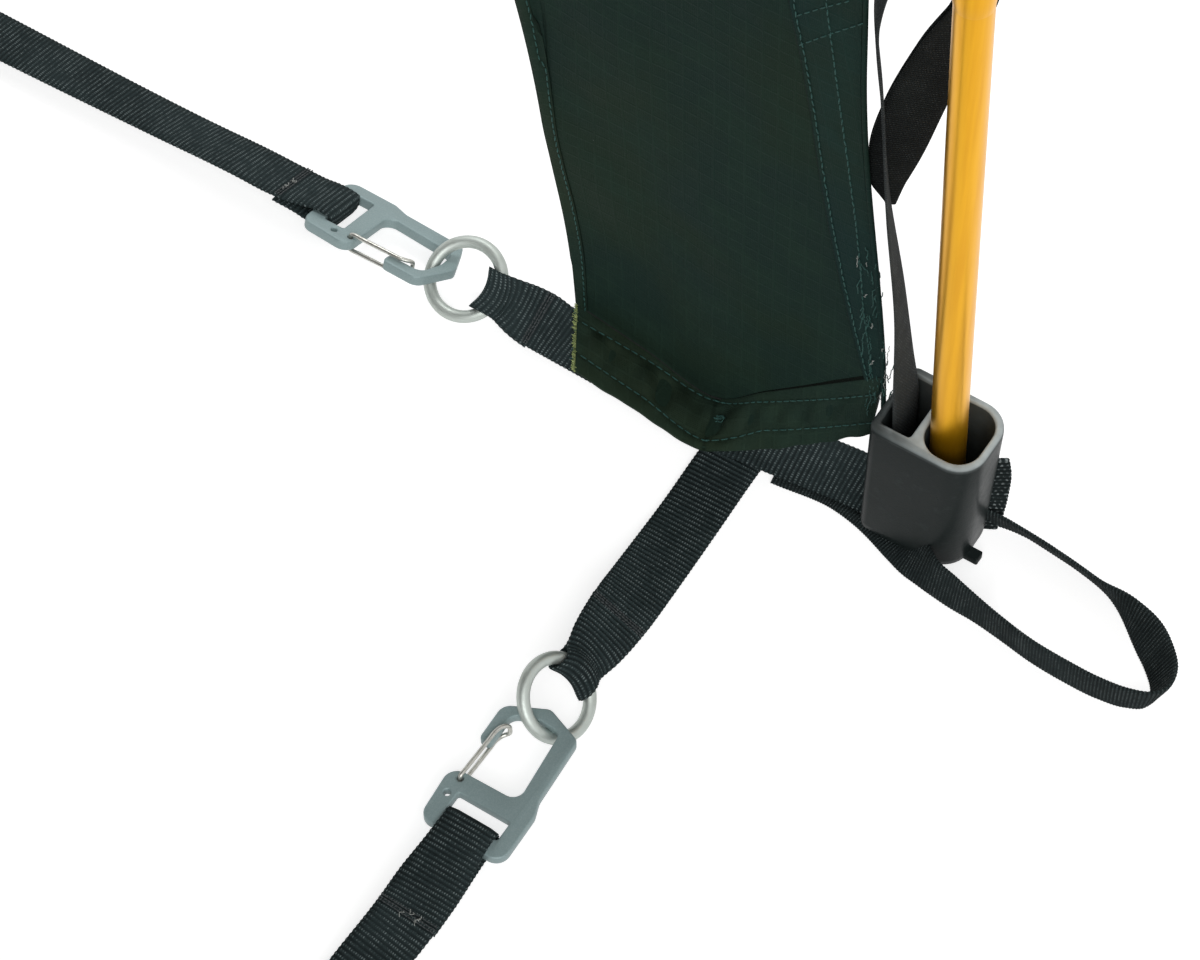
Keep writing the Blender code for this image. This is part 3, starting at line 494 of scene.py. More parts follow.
# Geometry Nodes for what repeats
class Tree:
    """A geometry node group with named inputs; node() adds a node from its type, settings and sockets."""

    def __init__(self, name, inputs):
        self.group = bpy.data.node_groups.new(name, "GeometryNodeTree")
        face = self.group.interface
        face.new_socket("Geometry", in_out="OUTPUT", socket_type="NodeSocketGeometry")
        face.new_socket("Geometry", in_out="INPUT", socket_type="NodeSocketGeometry")
        for label, kind, value in inputs:
            made = face.new_socket(label, in_out="INPUT", socket_type="NodeSocket" + kind)
            if value is not None:
                made.default_value = value
        self.start = self.group.nodes.new("NodeGroupInput")

    def node(self, kind, settings, **named):
        """Keywords name sockets, and i0, i1 and so on number them."""
        made = self.group.nodes.new(kind)
        for key, value in settings.items():
            setattr(made, key, value)
        for key, value in named.items():
            numbered = key[0] == "i" and key[1:].isdigit()
            socket = made.inputs[int(key[1:]) if numbered else key.replace("_", " ")]
            if isinstance(value, bpy.types.NodeSocket):
                self.group.links.new(value, socket)
            else:
                socket.default_value = value
        return made.outputs

    def math(self, operation, *values):
        numbered = {"i%d" % k: value for k, value in enumerate(values)}
        return self.node("ShaderNodeMath", {"operation": operation}, **numbered)[0]

    def random(self, low, high):
        return self.node("FunctionNodeRandomValue", {"data_type": "FLOAT"}, i2=low, i3=high,
                         Seed=self.given("Seed"))[1]

    def given(self, label):
        return self.start.outputs[label]

    def end(self, geometry):
        real = self.node("GeometryNodeRealizeInstances", {}, Geometry=geometry)[0]
        done = self.node("GeometryNodeSetMaterial", {}, Geometry=real, Material=self.given("Material"))[0]
        last = self.group.nodes.new("NodeGroupOutput")
        self.group.links.new(done, last.inputs[0])

    def run(self, mesh, **values):
        """The tree's result on a mesh, as a plain mesh."""
        obj = bpy.data.objects.new("made_" + mesh.name, mesh)
        bpy.context.scene.collection.objects.link(obj)
        mod = obj.modifiers.new("nodes", "NODES")
        mod.node_group = self.group
        for item in self.group.interface.items_tree:
            key = item.name.replace(" ", "_")
            if item.item_type == "SOCKET" and item.in_out == "INPUT" and key in values:
                mod[item.identifier] = values[key]
        graph = bpy.context.evaluated_depsgraph_get()
        made = bpy.data.meshes.new_from_object(obj.evaluated_get(graph))
        bpy.data.objects.remove(obj)
        return made


def webbing_ribs():
    """Every point of a strap moves out or in with a wave along the strap."""
    tree = Tree("webbing_ribs", (("Rib pitch", "Float", 0.00125), ("Rib height", "Float", 0.00016),
                                 ("Seed", "Int", 3), ("Material", "Material", None)))
    along = tree.node("GeometryNodeInputNamedAttribute", {"data_type": "FLOAT"}, Name="along")[0]
    angle = tree.math("MULTIPLY", tree.math("DIVIDE", along, tree.given("Rib pitch")), 2 * math.pi)
    lift = tree.math("MULTIPLY", tree.math("COSINE", angle), tree.given("Rib height"))
    lift = tree.math("MULTIPLY", lift, tree.random(0.72, 1.0))
    facing = tree.node("GeometryNodeInputNormal", {})[0]
    move = tree.node("ShaderNodeVectorMath", {"operation": "SCALE"}, i0=facing, Scale=lift)[0]
    tree.end(tree.node("GeometryNodeSetPosition", {}, Geometry=tree.given("Geometry"), Offset=move)[0])
    return tree


def stitch_rows():
    """Short rounded threads set along lines, each turned a little aside."""
    tree = Tree("stitch_rows", (("Pitch", "Float", 0.0024), ("Length", "Float", 0.0018),
                                ("Thread", "Float", 0.0004), ("Wander", "Float", 0.12),
                                ("Sides", "Int", 5), ("Seed", "Int", 5), ("Material", "Material", None)))
    line = tree.node("GeometryNodeMeshToCurve", {}, Mesh=tree.given("Geometry"))[0]
    spots = tree.node("GeometryNodeCurveToPoints", {"mode": "LENGTH"}, Curve=line,
                      Length=tree.given("Pitch"))
    bead = tree.node("GeometryNodeMeshUVSphere", {}, Segments=tree.given("Sides"), Rings=4, Radius=0.5)[0]
    size = tree.node("ShaderNodeCombineXYZ", {}, X=tree.given("Thread"), Y=tree.given("Thread"),
                     Z=tree.given("Length"))[0]
    spin = tree.node("FunctionNodeAlignEulerToVector", {"axis": "Z"}, Vector=spots["Tangent"])[0]
    wander = tree.random(tree.math("MULTIPLY", tree.given("Wander"), -1.0), tree.given("Wander"))
    tilt = tree.node("ShaderNodeCombineXYZ", {}, X=wander, Y=wander, Z=0.0)[0]
    spin = tree.node("ShaderNodeVectorMath", {"operation": "ADD"}, i0=spin, i1=tilt)[0]
    tree.end(tree.node("GeometryNodeInstanceOnPoints", {}, Points=spots["Points"], Instance=bead,
                       Rotation=spin, Scale=size)[0])
    return tree


def loose_threads():
    """A thin tube along each line."""
    tree = Tree("loose_threads", (("Thread", "Float", 0.0002), ("Material", "Material", None)))
    line = tree.node("GeometryNodeMeshToCurve", {}, Mesh=tree.given("Geometry"))[0]
    around = tree.node("GeometryNodeCurvePrimitiveCircle", {}, Resolution=5, Radius=tree.given("Thread"))[0]
    tree.end(tree.node("GeometryNodeCurveToMesh", {}, Curve=line, Profile_Curve=around, Fill_Caps=True)[0])
    return tree


RIBS, STITCHES, STRANDS = webbing_ribs(), stitch_rows(), loose_threads()


def lines_mesh(name, lines):
    verts, edges = [], []
    for points in lines:
        base = len(verts)
        verts += [tuple(p) for p in points]
        edges += [(base + k, base + k + 1) for k in range(len(points) - 1)]
    mesh = bpy.data.meshes.new(name)
    mesh.from_pydata(verts, edges, [])
    return mesh


def ribbed(name, shape, look, pitch=RIB_PITCH, height=RIB_HEIGHT):
    return RIBS.run(mesh_of(name, shape), Rib_pitch=pitch * MM, Rib_height=height * MM, Material=look.mat)


def sewn(name, lines, look, pitch=3.0, length=2.7, thread=0.5, wander=0.12, sides=5):
    """Rows of stitches along lines in metres."""
    mesh = STITCHES.run(lines_mesh(name, lines), Pitch=pitch * MM, Length=length * MM, Thread=thread * MM,
                        Wander=wander, Sides=sides, Material=look.mat)
    mesh.shade_smooth()
    return piece(name, mesh, look)


def strands(name, lines, look, thread=0.16):
    """Loose threads along lines in metres."""
    mesh = STRANDS.run(lines_mesh(name, lines), Thread=thread * MM, Material=look.mat)
    mesh.shade_smooth()
    return piece(name, mesh, look)


# Straps and webbing of one corner
def mix_axes(a, b, degrees):
    t = math.radians(degrees)
    return np.array(a) * math.cos(t) + np.array(b) * math.sin(t)


def row(p, n, width, lead=0.0):
    return (*p, *n, width, lead)


SIDE_DIR, FRONT_DIR = np.array((0.0, 1.0, 0.0)), np.array((-1.0, 0.0, 0.0))
TILT_SIDE, TILT_FRONT = np.array((-1.0, 0.0, 0.0)), np.array((0.0, -1.0, 0.0))
FOLD_SIDE, FOLD_FRONT = np.array((-1.9, 92.2, 9.2)), np.array((-102.6, -3.3, 10.4))
ROLL_SIDE, ROLL_FRONT = 30.0, 43.0
WIRE_GAP, LAYER_GAP = 0.85, 0.16
REACH = WIRE_R + WIRE_GAP + WEB_T / 2
LAYER = WEB_T / 2 + LAYER_GAP
TURN_W = 14.0
BAR_ROWS, BAR_GAP, BAR_RISE = 3, 0.9, 0.1


def ring_strap(single, double, c, along, tilt, roll):
    """Webbing that runs to a ring, turns round its wire and comes back under itself."""
    path = [row(p, mix_axes(UP, tilt, r), WEB_W) for p, r in single]
    mids = []
    for p, r, w, lead in double:
        n = mix_axes(UP, tilt, r)
        mids.append((np.array(p), n, w, lead))
        path.append(row(np.array(p) + n * LAYER, n, w, lead))
    n = mix_axes(UP, tilt, roll)
    for deg in (-20, 20, 60, 90, 120, 160, 200):
        out = mix_axes(n, along, deg)
        path.append(row(c + out * REACH, out, TURN_W, 1.0))
    for p, m, w, lead in reversed(mids):
        path.append(row(p - m * LAYER, -m, w, lead))
    return path


def bar_lines(rows, near):
    """Stitch lines across the upper side of a strap at the place nearest a point, in millimetres."""
    step = 0.5
    steps = np.arange(0.0, length_of(rows), step)
    q = flow(rows, steps)
    away = np.linalg.norm(q[:, :3] - np.array(near), axis=1)
    underside = q[:, 5] < 0.3
    at = steps[int(np.argmin(away + 50.0 * underside))]
    lines = []
    for k in range(BAR_ROWS):
        middle = at + BAR_GAP * k
        before, here, after = flow(rows, np.array([middle - step, middle, middle + step]))
        t = unit(after[:3] - before[:3])
        side = unit(np.cross(here[3:6], t))
        up = np.cross(t, side)
        off = np.linspace(-0.46, 0.46, 12) * here[6]
        lines.append(here[:3] + side * off[:, None] + up * (LAYER + BAR_RISE))
    return lines


SIDE_STRAP = ring_strap(
    [((4.0, -68.0, 2.45), 0), ((4.6, -40.0, 2.45), 0), ((1.5, -12.0, 2.45), 0), ((-1.0, 12.0, 2.45), 0),
     ((0.0, 44.0, 2.45), 0), ((0.4, 62.0, 2.5), 0), ((0.5, 70.5, 2.9), 2)],
    [((0.2, 76.5, 4.0), 8, 20.0, 0.0), ((-0.5, 82.0, 6.0), 18, 18.0, 0.25),
     ((-1.2, 87.0, 8.2), 26, 15.0, 0.8)],
    FOLD_SIDE, SIDE_DIR, TILT_SIDE, ROLL_SIDE)
FRONT_STRAP = ring_strap(
    [((9.0, 0.0, 1.3), 0), ((-14.0, 0.0, 1.3), 0), ((-34.0, -0.5, 1.3), 0), ((-52.0, -1.0, 2.6), 6),
     ((-66.0, -1.6, 4.6), 14)],
    [((-77.0, -2.0, 6.4), 24, 20.0, 0.0), ((-89.6, -2.7, 8.6), 34, 18.0, 0.25),
     ((-97.4, -3.1, 9.9), 40, 15.0, 0.8)],
    FOLD_FRONT, FRONT_DIR, TILT_FRONT, ROLL_FRONT)

# The peg loop's route: a place, then how far it turns on edge or how far it leans once it stands
LOOP = (((-2.6, -14.0), 0, None), ((-0.5, -36.0), 0, None), ((-2.6, -48.0), 0, None),
        ((-5.6, -56.5), 8, None), ((-9.0, -63.0), 30, None), ((-13.0, -68.5), 60, None),
        ((-15.8, -74.5), 76, None), ((-17.6, -83.0), 82, None), ((-19.0, -92.0), 90, 0),
        ((-20.7, -101.5), 90, 4), ((-22.6, -113.3), 90, 5), ((-23.2, -124.9), 90, 5),
        ((-22.9, -136.7), 90, 6), ((-21.3, -145.2), 90, 8), ((-18.4, -150.8), 90, 12),
        ((-14.2, -152.8), 90, 18), ((-9.2, -151.2), 90, 25), ((-3.6, -146.4), 90, 27),
        ((0.5, -141.1), 90, 26), ((5.1, -132.0), 90, 6), ((8.6, -121.2), 90, -20),
        ((10.6, -111.6), 90, -24), ((12.0, -100.1), 90, -24), ((12.7, -90.9), 90, -24),
        ((12.4, -84.0), 90, -20), ((11.4, -78.6), 90, -16))


def loop_rows():
    """Peg loop: flat under the corner, then on edge out to the peg and round to the cup's outer end."""
    rows = []
    for i, ((x, y), turn, lean) in enumerate(LOOP):
        a, b = LOOP[max(0, i - 1)][0], LOOP[min(len(LOOP) - 1, i + 1)][0]
        t = unit(np.array((b[0] - a[0], b[1] - a[1], 0.0)))
        out = np.array((t[1], -t[0], 0.0))
        if lean is None:
            n = mix_axes(UP, out, turn)
            z = LOOP_W / 2 * math.sin(math.radians(turn)) + WEB_T / 2 * math.cos(math.radians(turn))
        else:
            n = mix_axes(out, -UP, lean)
            z = LOOP_W / 2 * math.cos(math.radians(lean)) + WEB_T / 2 * abs(math.sin(math.radians(lean)))
        rows.append(row((x, y, z), n, LOOP_W))
    return rows


LOOP_ROWS = loop_rows()
CUP_END = ((12.2, -79.6, 1.2, 5.0), (12.6, -80.2, 8.0, 5.6), (12.9, -80.7, 20.0, 5.8),
           (13.0, -80.8, 32.0, 5.2), (12.9, -80.5, 39.0, 3.6))
CUP_END_FACE = unit(np.array((-0.842, -0.539, 0.0)))
CUP_END_ROWS = [row((x, y, z), CUP_END_FACE, w) for x, y, z, w in CUP_END]

# Hooks, rings and gates; u runs along a hook and v across it
HOOK_OUTLINE = ((-2.3, 13.1, 1.6), (-15.6, 13.3, 4.5), (-22.0, 0.4, 3.0), (-17.3, -12.2, 2.6),
                (5.2, -13.2, 5.0), (10.4, -15.0, 5.0), (28.8, -15.2, 4.6), (28.3, 13.6, 3.8),
                (9.4, 14.9, 4.6), (8.9, -8.1, 3.8), (-16.9, -6.1, 2.6), (-17.0, 0.8, 3.0),
                (-14.3, 9.0, 3.6), (-2.3, 9.0, 1.3))
SLOT, SLOT_R = (15.8, 22.9, -10.0, 8.1), 0.8
PIN, PIN_PLAY, GATE_END = (11.7, 10.3), 0.3, (-10.2, 7.2)
HOLE2, HOLE2_R = (17.6, 10.9), 1.05
ROLL_HOOK = -22.0
HOOK_FRAMES = {
    "end": (np.array((-117.0, -4.5, 9.3)) + FRONT_DIR * RING_SPAN, FRONT_DIR, np.array((0.0, 1.0, 0.0)), UP),
    "side": (np.array((-1.9, 106.4, 8.8)) + SIDE_DIR * RING_SPAN, SIDE_DIR,
             mix_axes(TILT_SIDE, -UP, ROLL_HOOK), mix_axes(UP, TILT_SIDE, ROLL_HOOK))}


def framed(axes, u, v, n):
    """A place from an origin and its three axes."""
    o, eu, ev, en = axes
    return o + eu * u + ev * v + en * n


def filleted(corners):
    """A closed outline of straight sides, with a rounded corner of its own radius at each (u, v, radius)."""
    pts = []
    for i, (u, v, r) in enumerate(corners):
        p = np.array((u, v))
        a, b = np.array(corners[i - 1][:2]), np.array(corners[(i + 1) % len(corners)][:2])
        da, db = unit(a - p), unit(b - p)
        half = math.acos(float(np.clip(da @ db, -1, 1))) / 2
        room = [0.48 * float(np.linalg.norm(end - p)) for end in (a, b)]
        back = min(r / math.tan(half), *room)
        radius = back * math.tan(half)
        mid = p + unit(da + db) * radius / math.sin(half)
        first, last = p + da * back - mid, p + db * back - mid
        start = math.atan2(first[1], first[0])
        turn = (math.atan2(last[1], last[0]) - start + math.pi) % (2 * math.pi) - math.pi
        steps = max(3, int(abs(turn) * radius / 0.45))
        for k in range(steps + 1):
            a = start + turn * k / steps
            pts.append((float(mid[0] + radius * math.cos(a)), float(mid[1] + radius * math.sin(a))))
    return pts


def quarter(u, v, radius, first, steps):
    """A quarter of a circle from the angle first, in degrees."""
    angles = [math.radians(first + 90 * k / steps) for k in range(steps + 1)]
    return [(u + radius * math.cos(a), v + radius * math.sin(a)) for a in angles]


def box_outline(u0, u1, v0, v1, r):
    ends = ((u1 - r, v1 - r, 0), (u0 + r, v1 - r, 90), (u0 + r, v0 + r, 180), (u1 - r, v0 + r, 270))
    return [p for u, v, first in ends for p in quarter(u, v, r, first, 5)]


def disc(centre, radius, count=20):
    angles = [2 * math.pi * k / count for k in range(count)]
    return [(centre[0] + radius * math.cos(a), centre[1] + radius * math.sin(a)) for a in angles]


def plate(outlines, thick, edge):
    """A plate from its outline and holes, with rounded edges: a filled flat curve, extruded and bevelled."""
    curve = bpy.data.curves.new("plate", "CURVE")
    curve.dimensions, curve.fill_mode = "2D", "BOTH"
    for points in outlines:
        spline = curve.splines.new("POLY")
        spline.points.add(len(points) - 1)
        spline.points.foreach_set("co", [c for p in points for c in (p[0], p[1], 0.0, 1.0)])
        spline.use_cyclic_u = True
    curve.extrude, curve.bevel_depth, curve.offset, curve.bevel_resolution = thick / 2 - edge, edge, -edge, 2
    obj = bpy.data.objects.new("plate", curve)
    bpy.context.scene.collection.objects.link(obj)
    mesh = bpy.data.meshes.new_from_object(obj.evaluated_get(bpy.context.evaluated_depsgraph_get()))
    bpy.data.objects.remove(obj)
    return tidy(mesh)


def tidy(mesh):
    """A closed mesh with its doubles merged and its faces outward, as a Shape."""
    bm = bmesh.new()
    bm.from_mesh(mesh)
    bmesh.ops.remove_doubles(bm, verts=bm.verts, dist=1e-4)
    bmesh.ops.recalc_face_normals(bm, faces=bm.faces)
    if bm.calc_volume(signed=True) < 0:
        bmesh.ops.reverse_faces(bm, faces=bm.faces)
    bm.verts.ensure_lookup_table()
    shape = Shape([v.co[:] for v in bm.verts], [[v.index for v in f.verts] for f in bm.faces])
    bm.free()
    return shape


def in_frame(shape, axes):
    v = shape.verts
    return shape.placed(framed(axes, v[:, :1], v[:, 1:2], v[:, 2:3])).outward()


HOOK_PLATE = plate([filleted(HOOK_OUTLINE), box_outline(*SLOT, SLOT_R), disc(PIN, GATE_R + PIN_PLAY),
                    disc(HOLE2, HOLE2_R)], HOOK_T, HOOK_EDGE)


def gate_line():
    """The sprung wire: its pin through the plate, an arm on each face and the end that meets the nose."""
    z = HOOK_T / 2 + PIN_PLAY + GATE_R + 0.1
    u, v = PIN
    arm, fall = 17.0, 0.55
    half = [(u, v, 0.35), (u, v, z - 0.9), (u - 0.25, v, z - 0.25), (u - 0.9, v - 0.01, z)]
    half += [(u - 0.9 - arm * k / 6, v - 0.01 - fall * k / 6, z) for k in range(1, 7)]
    half += [(-8.6, 9.0, z - 0.05), (-9.7, 8.1, z - 0.35), (GATE_END[0], GATE_END[1] + 0.15, z - 1.1),
             (*GATE_END, z - 2.0)]
    return flow(half + [(u, v, -n) for u, v, n in reversed(half)], 0.35)


GATE_SHAPE = tube(gate_line(), GATE_R, 14, (0.0, 1.0, 0.0))
FOLD_DEPTH = 0.7


def ring_shape(fold, along, tilt, roll):
    """A wire ring whose line passes a little inside the fold of its strap."""
    n = mix_axes(UP, tilt, roll)
    c, w = fold + along * (RING_R - FOLD_DEPTH), unit(np.cross(n, along))
    turn = 2 * np.pi * np.arange(112) / 112
    wire = 2 * np.pi * np.arange(18) / 18
    out = np.cos(turn)[:, None] * along + np.sin(turn)[:, None] * w
    rings = c + out[:, None, :] * (RING_R + WIRE_R * np.cos(wire))[None, :, None] \
        + n * (WIRE_R * np.sin(wire))[None, :, None]
    return loft(rings, turn * RING_R, wire * WIRE_R, closed=True)


RINGS = {"side": ring_shape(FOLD_SIDE, SIDE_DIR, TILT_SIDE, ROLL_SIDE),
         "end": ring_shape(FOLD_FRONT, FRONT_DIR, TILT_FRONT, ROLL_FRONT)}

# Pole cup
CUP_CX, CUP_HX, CUP_Y0, CUP_Y1, CUP_Z0, CUP_Z1 = 3.0, 13.5, -81.0, -45.6, 3.4, 59.0
CUP_CY, CUP_HY = (CUP_Y0 + CUP_Y1) / 2, (CUP_Y1 - CUP_Y0) / 2
CUP_OUT_R, CUP_IN_R, CUP_LIP = 9.5, 3.4, 1.5
CHAMBER, CHAMBER_R, TAPE_SLOT = (3.0, -69.6, 11.0, 8.9), 7.5, (-6.8, 12.8, -58.2, -48.2)


def rounded(cx, cy, hx, hy, r_out, r_in):
    """A box outline, its outer corners wider than its inner ones."""
    ends = ((1, 1, 0, r_in), (-1, 1, 90, r_in), (-1, -1, 180, r_out), (1, -1, 270, r_out))
    return [p for qx, qy, first, r in ends
            for p in quarter(cx + qx * (hx - r), cy + qy * (hy - r), r, first, 10)]


def plan(points, z):
    return [(*p, z) for p in points]


def cut(base, others):
    """The base shape with others cut away or joined on."""
    scene = bpy.context.scene.collection
    obj = bpy.data.objects.new("blank", mesh_of("blank", base))
    scene.objects.link(obj)
    tools = []
    for shape, kind in others:
        tool = bpy.data.objects.new("tool", mesh_of("tool", shape))
        scene.objects.link(tool)
        tools.append(tool)
        mod = obj.modifiers.new("cut", "BOOLEAN")
        mod.operation, mod.solver, mod.object = kind, "EXACT", tool
    mesh = bpy.data.meshes.new_from_object(obj.evaluated_get(bpy.context.evaluated_depsgraph_get()))
    for each in [obj, *tools]:
        bpy.data.objects.remove(each)
    return tidy(mesh)


def cup_shape():
    """The moulded cup: a wall that leans a little, a round lip, the chamber, the tape's slot and a lug."""
    rings = []
    for z, shift, inset in ((0.0, 1.0, 1.9), (0.35, 1.0, 1.1), (1.2, 1.0, 0.6), (3.5, 0.95, 0.45),
                            (20.0, 0.6, 0.3), (38.0, 0.25, 0.12), (53.3, 0.0, 0.0)):
        lean, hx, hy = 0.6 * shift, CUP_HX - inset, CUP_HY - inset
        wall = rounded(CUP_CX - lean, CUP_CY + lean, hx, hy, CUP_OUT_R, CUP_IN_R)
        rings.append(plan(wall, CUP_Z0 + z))
    for k in range(1, 6):
        a = math.pi / 2 * k / 5
        inset = CUP_LIP * (1 - math.cos(a))
        hx, hy = CUP_HX - inset, CUP_HY - inset
        wall = rounded(CUP_CX, CUP_CY, hx, hy, CUP_OUT_R - inset, CUP_IN_R - inset)
        rings.append(plan(wall, CUP_Z1 - CUP_LIP + CUP_LIP * math.sin(a)))
    x, y, hx, hy = CHAMBER
    hole = [plan(rounded(x, y, hx + o, hy + o, CHAMBER_R + o, CHAMBER_R + o), z) for o, z in
            ((0.0, CUP_Z0 + 2.2), (0.0, CUP_Z1 - 1.1), (0.12, CUP_Z1 - 0.6), (0.45, CUP_Z1 - 0.15),
             (0.75, CUP_Z1 + 0.02), (0.8, CUP_Z1 + 2.0))]
    a, b, c, d = TAPE_SLOT
    slot = [plan(box_outline(a - o, b + o, c - o, d + o, 1.0 + o), z) for o, z in
            ((0.0, CUP_Z0 + 6.0), (0.0, CUP_Z1 - 1.0), (0.12, CUP_Z1 - 0.5), (0.4, CUP_Z1 - 0.12),
             (0.6, CUP_Z1 + 0.02), (0.62, CUP_Z1 + 2.0))]
    lug = [plan(box_outline(-3.4 + o, 0.4 - o, -83.8 + o, -76.0, 0.6), CUP_Z0 + z) for o, z in
           ((0.3, 0.0), (0.0, 0.3), (0.0, 2.8), (0.3, 3.2))]
    return cut(loft(rings), [(loft(lug), "UNION"), (loft(hole), "DIFFERENCE"), (loft(slot), "DIFFERENCE")])


CUP_SHAPE = cup_shape()
# Painted highlight on the rim's top, strongest round the chamber's outer side
rim = smooth((CUP_SHAPE.verts[:, 2] - CUP_Z1 + 1.3) / 0.9)
CUP_SHAPE.shade = rim * np.where(CUP_SHAPE.verts[:, 1] < -57.0, 0.75, 0.12)

# Tension tape, buckle and pull tab
LOOK_AXIS, RIGHT = unit(np.array((0.84, 0.54, 0.0))), unit(np.array((0.54, -0.84, 0.0)))
BUCKLE_AT = np.array((-4.5, -42.5, 304.0))
BUCKLE_FRAME = (BUCKLE_AT, LOOK_AXIS, UP, RIGHT)
BAR, BAR_V = 1.5, 8.5
BAR_REACH = BAR * 1.42 + 0.3 + TAPE_T / 2
TAPE_LINE = ((3.4, -51.0, CUP_Z0 + 6.3, 0), (3.4, -51.0, 56.0, 0), (2.0, -49.6, 76.0, 8),
             (0.4, -46.8, 110.0, 20), (-2.4, -41.2, 158.0, 30), (-3.8, -37.2, 203.0, 33),
             (-4.2, -33.6, 243.0, 33), (-4.3, -35.4, 257.0, 33))
TAB_LINE = ((-2.3, -45.9, 295.5, 0, 16.0), (3.0, -49.5, 280.0, 18, 16.0), (10.5, -52.4, 260.0, 38, 16.0),
            (15.0, -52.0, 238.0, 60, 15.8), (12.3, -46.5, 216.3, 80, 15.8), (8.6, -40.7, 189.8, 90, 16.6),
            (6.7, -37.6, 170.0, 91, 15.0), (5.9, -36.6, 157.0, 91, 10.4), (6.7, -37.6, 146.5, 91, 3.2))


def tape_rows():
    """The tape up from the cup's slot, round the buckle's lower bar and a short way down again."""
    faces = (0.0, 1.0, 0.0), (-1.0, 0.0, 0.0)
    rows = [row((x, y, z), mix_axes(*faces, deg), TAPE_W) for x, y, z, deg in TAPE_LINE]
    bar, back = framed(BUCKLE_FRAME, 0.0, -BAR_V, 0.0), -RIGHT
    rows += [row(bar - UP * 17.0 + back * 0.6, back, TAPE_W), row(bar - UP * 6.0 + back * 0.7, back, TAPE_W)]
    for deg in (-30, 0, 45, 90, 135, 180, 210):
        out = mix_axes(back, UP, deg)
        rows.append(row(bar + out * BAR_REACH, out, TAPE_W))
    rows += [row(bar - UP * 7.0 - back * 0.7, -back, TAPE_W),
             row(bar - UP * 28.0 - back * 0.6, -back, TAPE_W)]
    return rows


def tab_rows():
    """The doubled tab: down to its pointed tip, back up and round the buckle's upper bar."""
    mids = [(np.array((x, y, z)), mix_axes(RIGHT, -LOOK_AXIS, deg), w) for x, y, z, deg, w in TAB_LINE]
    gap = TAPE_T / 2 + 0.2
    rows = [row(p - n * gap, n, w) for p, n, w in mids[1:]]
    tip, n, w = mids[-1]
    rows.append(row(tip - UP * 1.2, -UP, w))
    rows += [row(p + n * gap, -n, w) for p, n, w in reversed(mids)]
    bar = framed(BUCKLE_FRAME, 0.0, BAR_V, 0.0)
    for deg in (-20, 25, 70, 115, 160, 205, 250):
        out = mix_axes(RIGHT, UP, deg)
        rows.append(row(bar + out * BAR_REACH, -out, TAPE_W))
    return rows


BUCKLE_PLATE = plate([box_outline(-11, 11, -10, 10, 1.6), box_outline(-8.3, 8.3, -7.0, -1.5, 0.8),
                      box_outline(-8.3, 8.3, 1.5, 7.0, 0.8)], 2 * BAR, 0.6)


def corner_webbing(label, sx, sy):
    """The ribbed straps of one corner and the stitches that close their folds."""
    crossed = joined([ribbon(SIDE_STRAP, WEB_T, RIB_STEP, 10, SIDE_DIR, RING_R),
                      ribbon(FRONT_STRAP, WEB_T, RIB_STEP, 10, FRONT_DIR, RING_R)])
    piece("webbing_" + label, ribbed("webbing", to_corner(crossed, sx, sy), WEB), WEB,
          instead=["corner_webbing_" + label])
    bars = bar_lines(SIDE_STRAP, (-1.0, 76.5, 5.0)) + bar_lines(FRONT_STRAP, (-78.2, -2.0, 7.0))
    sewn("webbing_stitches_" + label, [at_corner(line, sx, sy) for line in bars], BLACK, 1.3, 1.5, 0.6, 0.3)
    end = to_corner(ribbon(CUP_END_ROWS, 1.4, 0.3, 16), sx, sy)
    piece("cup_webbing_" + label, ribbed("coarse", end, COARSE, 2.0, 0.3), COARSE)
    loop = to_corner(ribbon(LOOP_ROWS, WEB_T, RIB_STEP, 10), sx, sy)
    piece("peg_loop_webbing_" + label, ribbed("loop", loop, LOOP_LOOK, 1.0, 0.12), LOOP_LOOK,
          instead=["peg_loop_" + label])


def corner_hardware():
    """The smooth pieces: name, shape, look, CAD node, slot and the angle past which an edge is sharp."""
    tape, tab = (ribbon(rows, TAPE_T, FLAT_STEP, 8) for rows in (tape_rows(), tab_rows()))
    made = [("cup", CUP_SHAPE, CUP, "pole_cup", "moulded_cup", 38),
            ("tape", tape, TAPE, "tension_tape", "flat_tape", None),
            ("tab", tab, TAB_LOOK, "pull_tab", "flat_tape", None),
            ("buckle", in_frame(BUCKLE_PLATE, BUCKLE_FRAME), BUCKLE, "tension_buckle", "moulded_buckle", 35)]
    for kind in ("side", "end"):
        hook, gate = (in_frame(shape, HOOK_FRAMES[kind]) for shape in (HOOK_PLATE, GATE_SHAPE))
        made += [("ring_%s_wire" % kind, RINGS[kind], RING, "ring_" + kind, "satin_ring", None),
                 ("hook_%s_plate" % kind, hook, HOOK, "hook_" + kind, "anodised_hook", 40),
                 ("gate_%s_wire" % kind, gate, WIRE, "gate_" + kind, "gate_wire", None)]
    return made


HARDWARE = corner_hardware()
for label, sx, sy in CORNERS:
    corner_webbing(label, sx, sy)
    for name, shape, look, node, slot, creases in HARDWARE:
        node = "%s_%s" % (node, label)
        piece("%s_%s" % (name, label), mesh_of(name, to_corner(shape, sx, sy)), look,
              body=node + "_body" if look is WIRE else BODY, instead=[node], creases=creases)

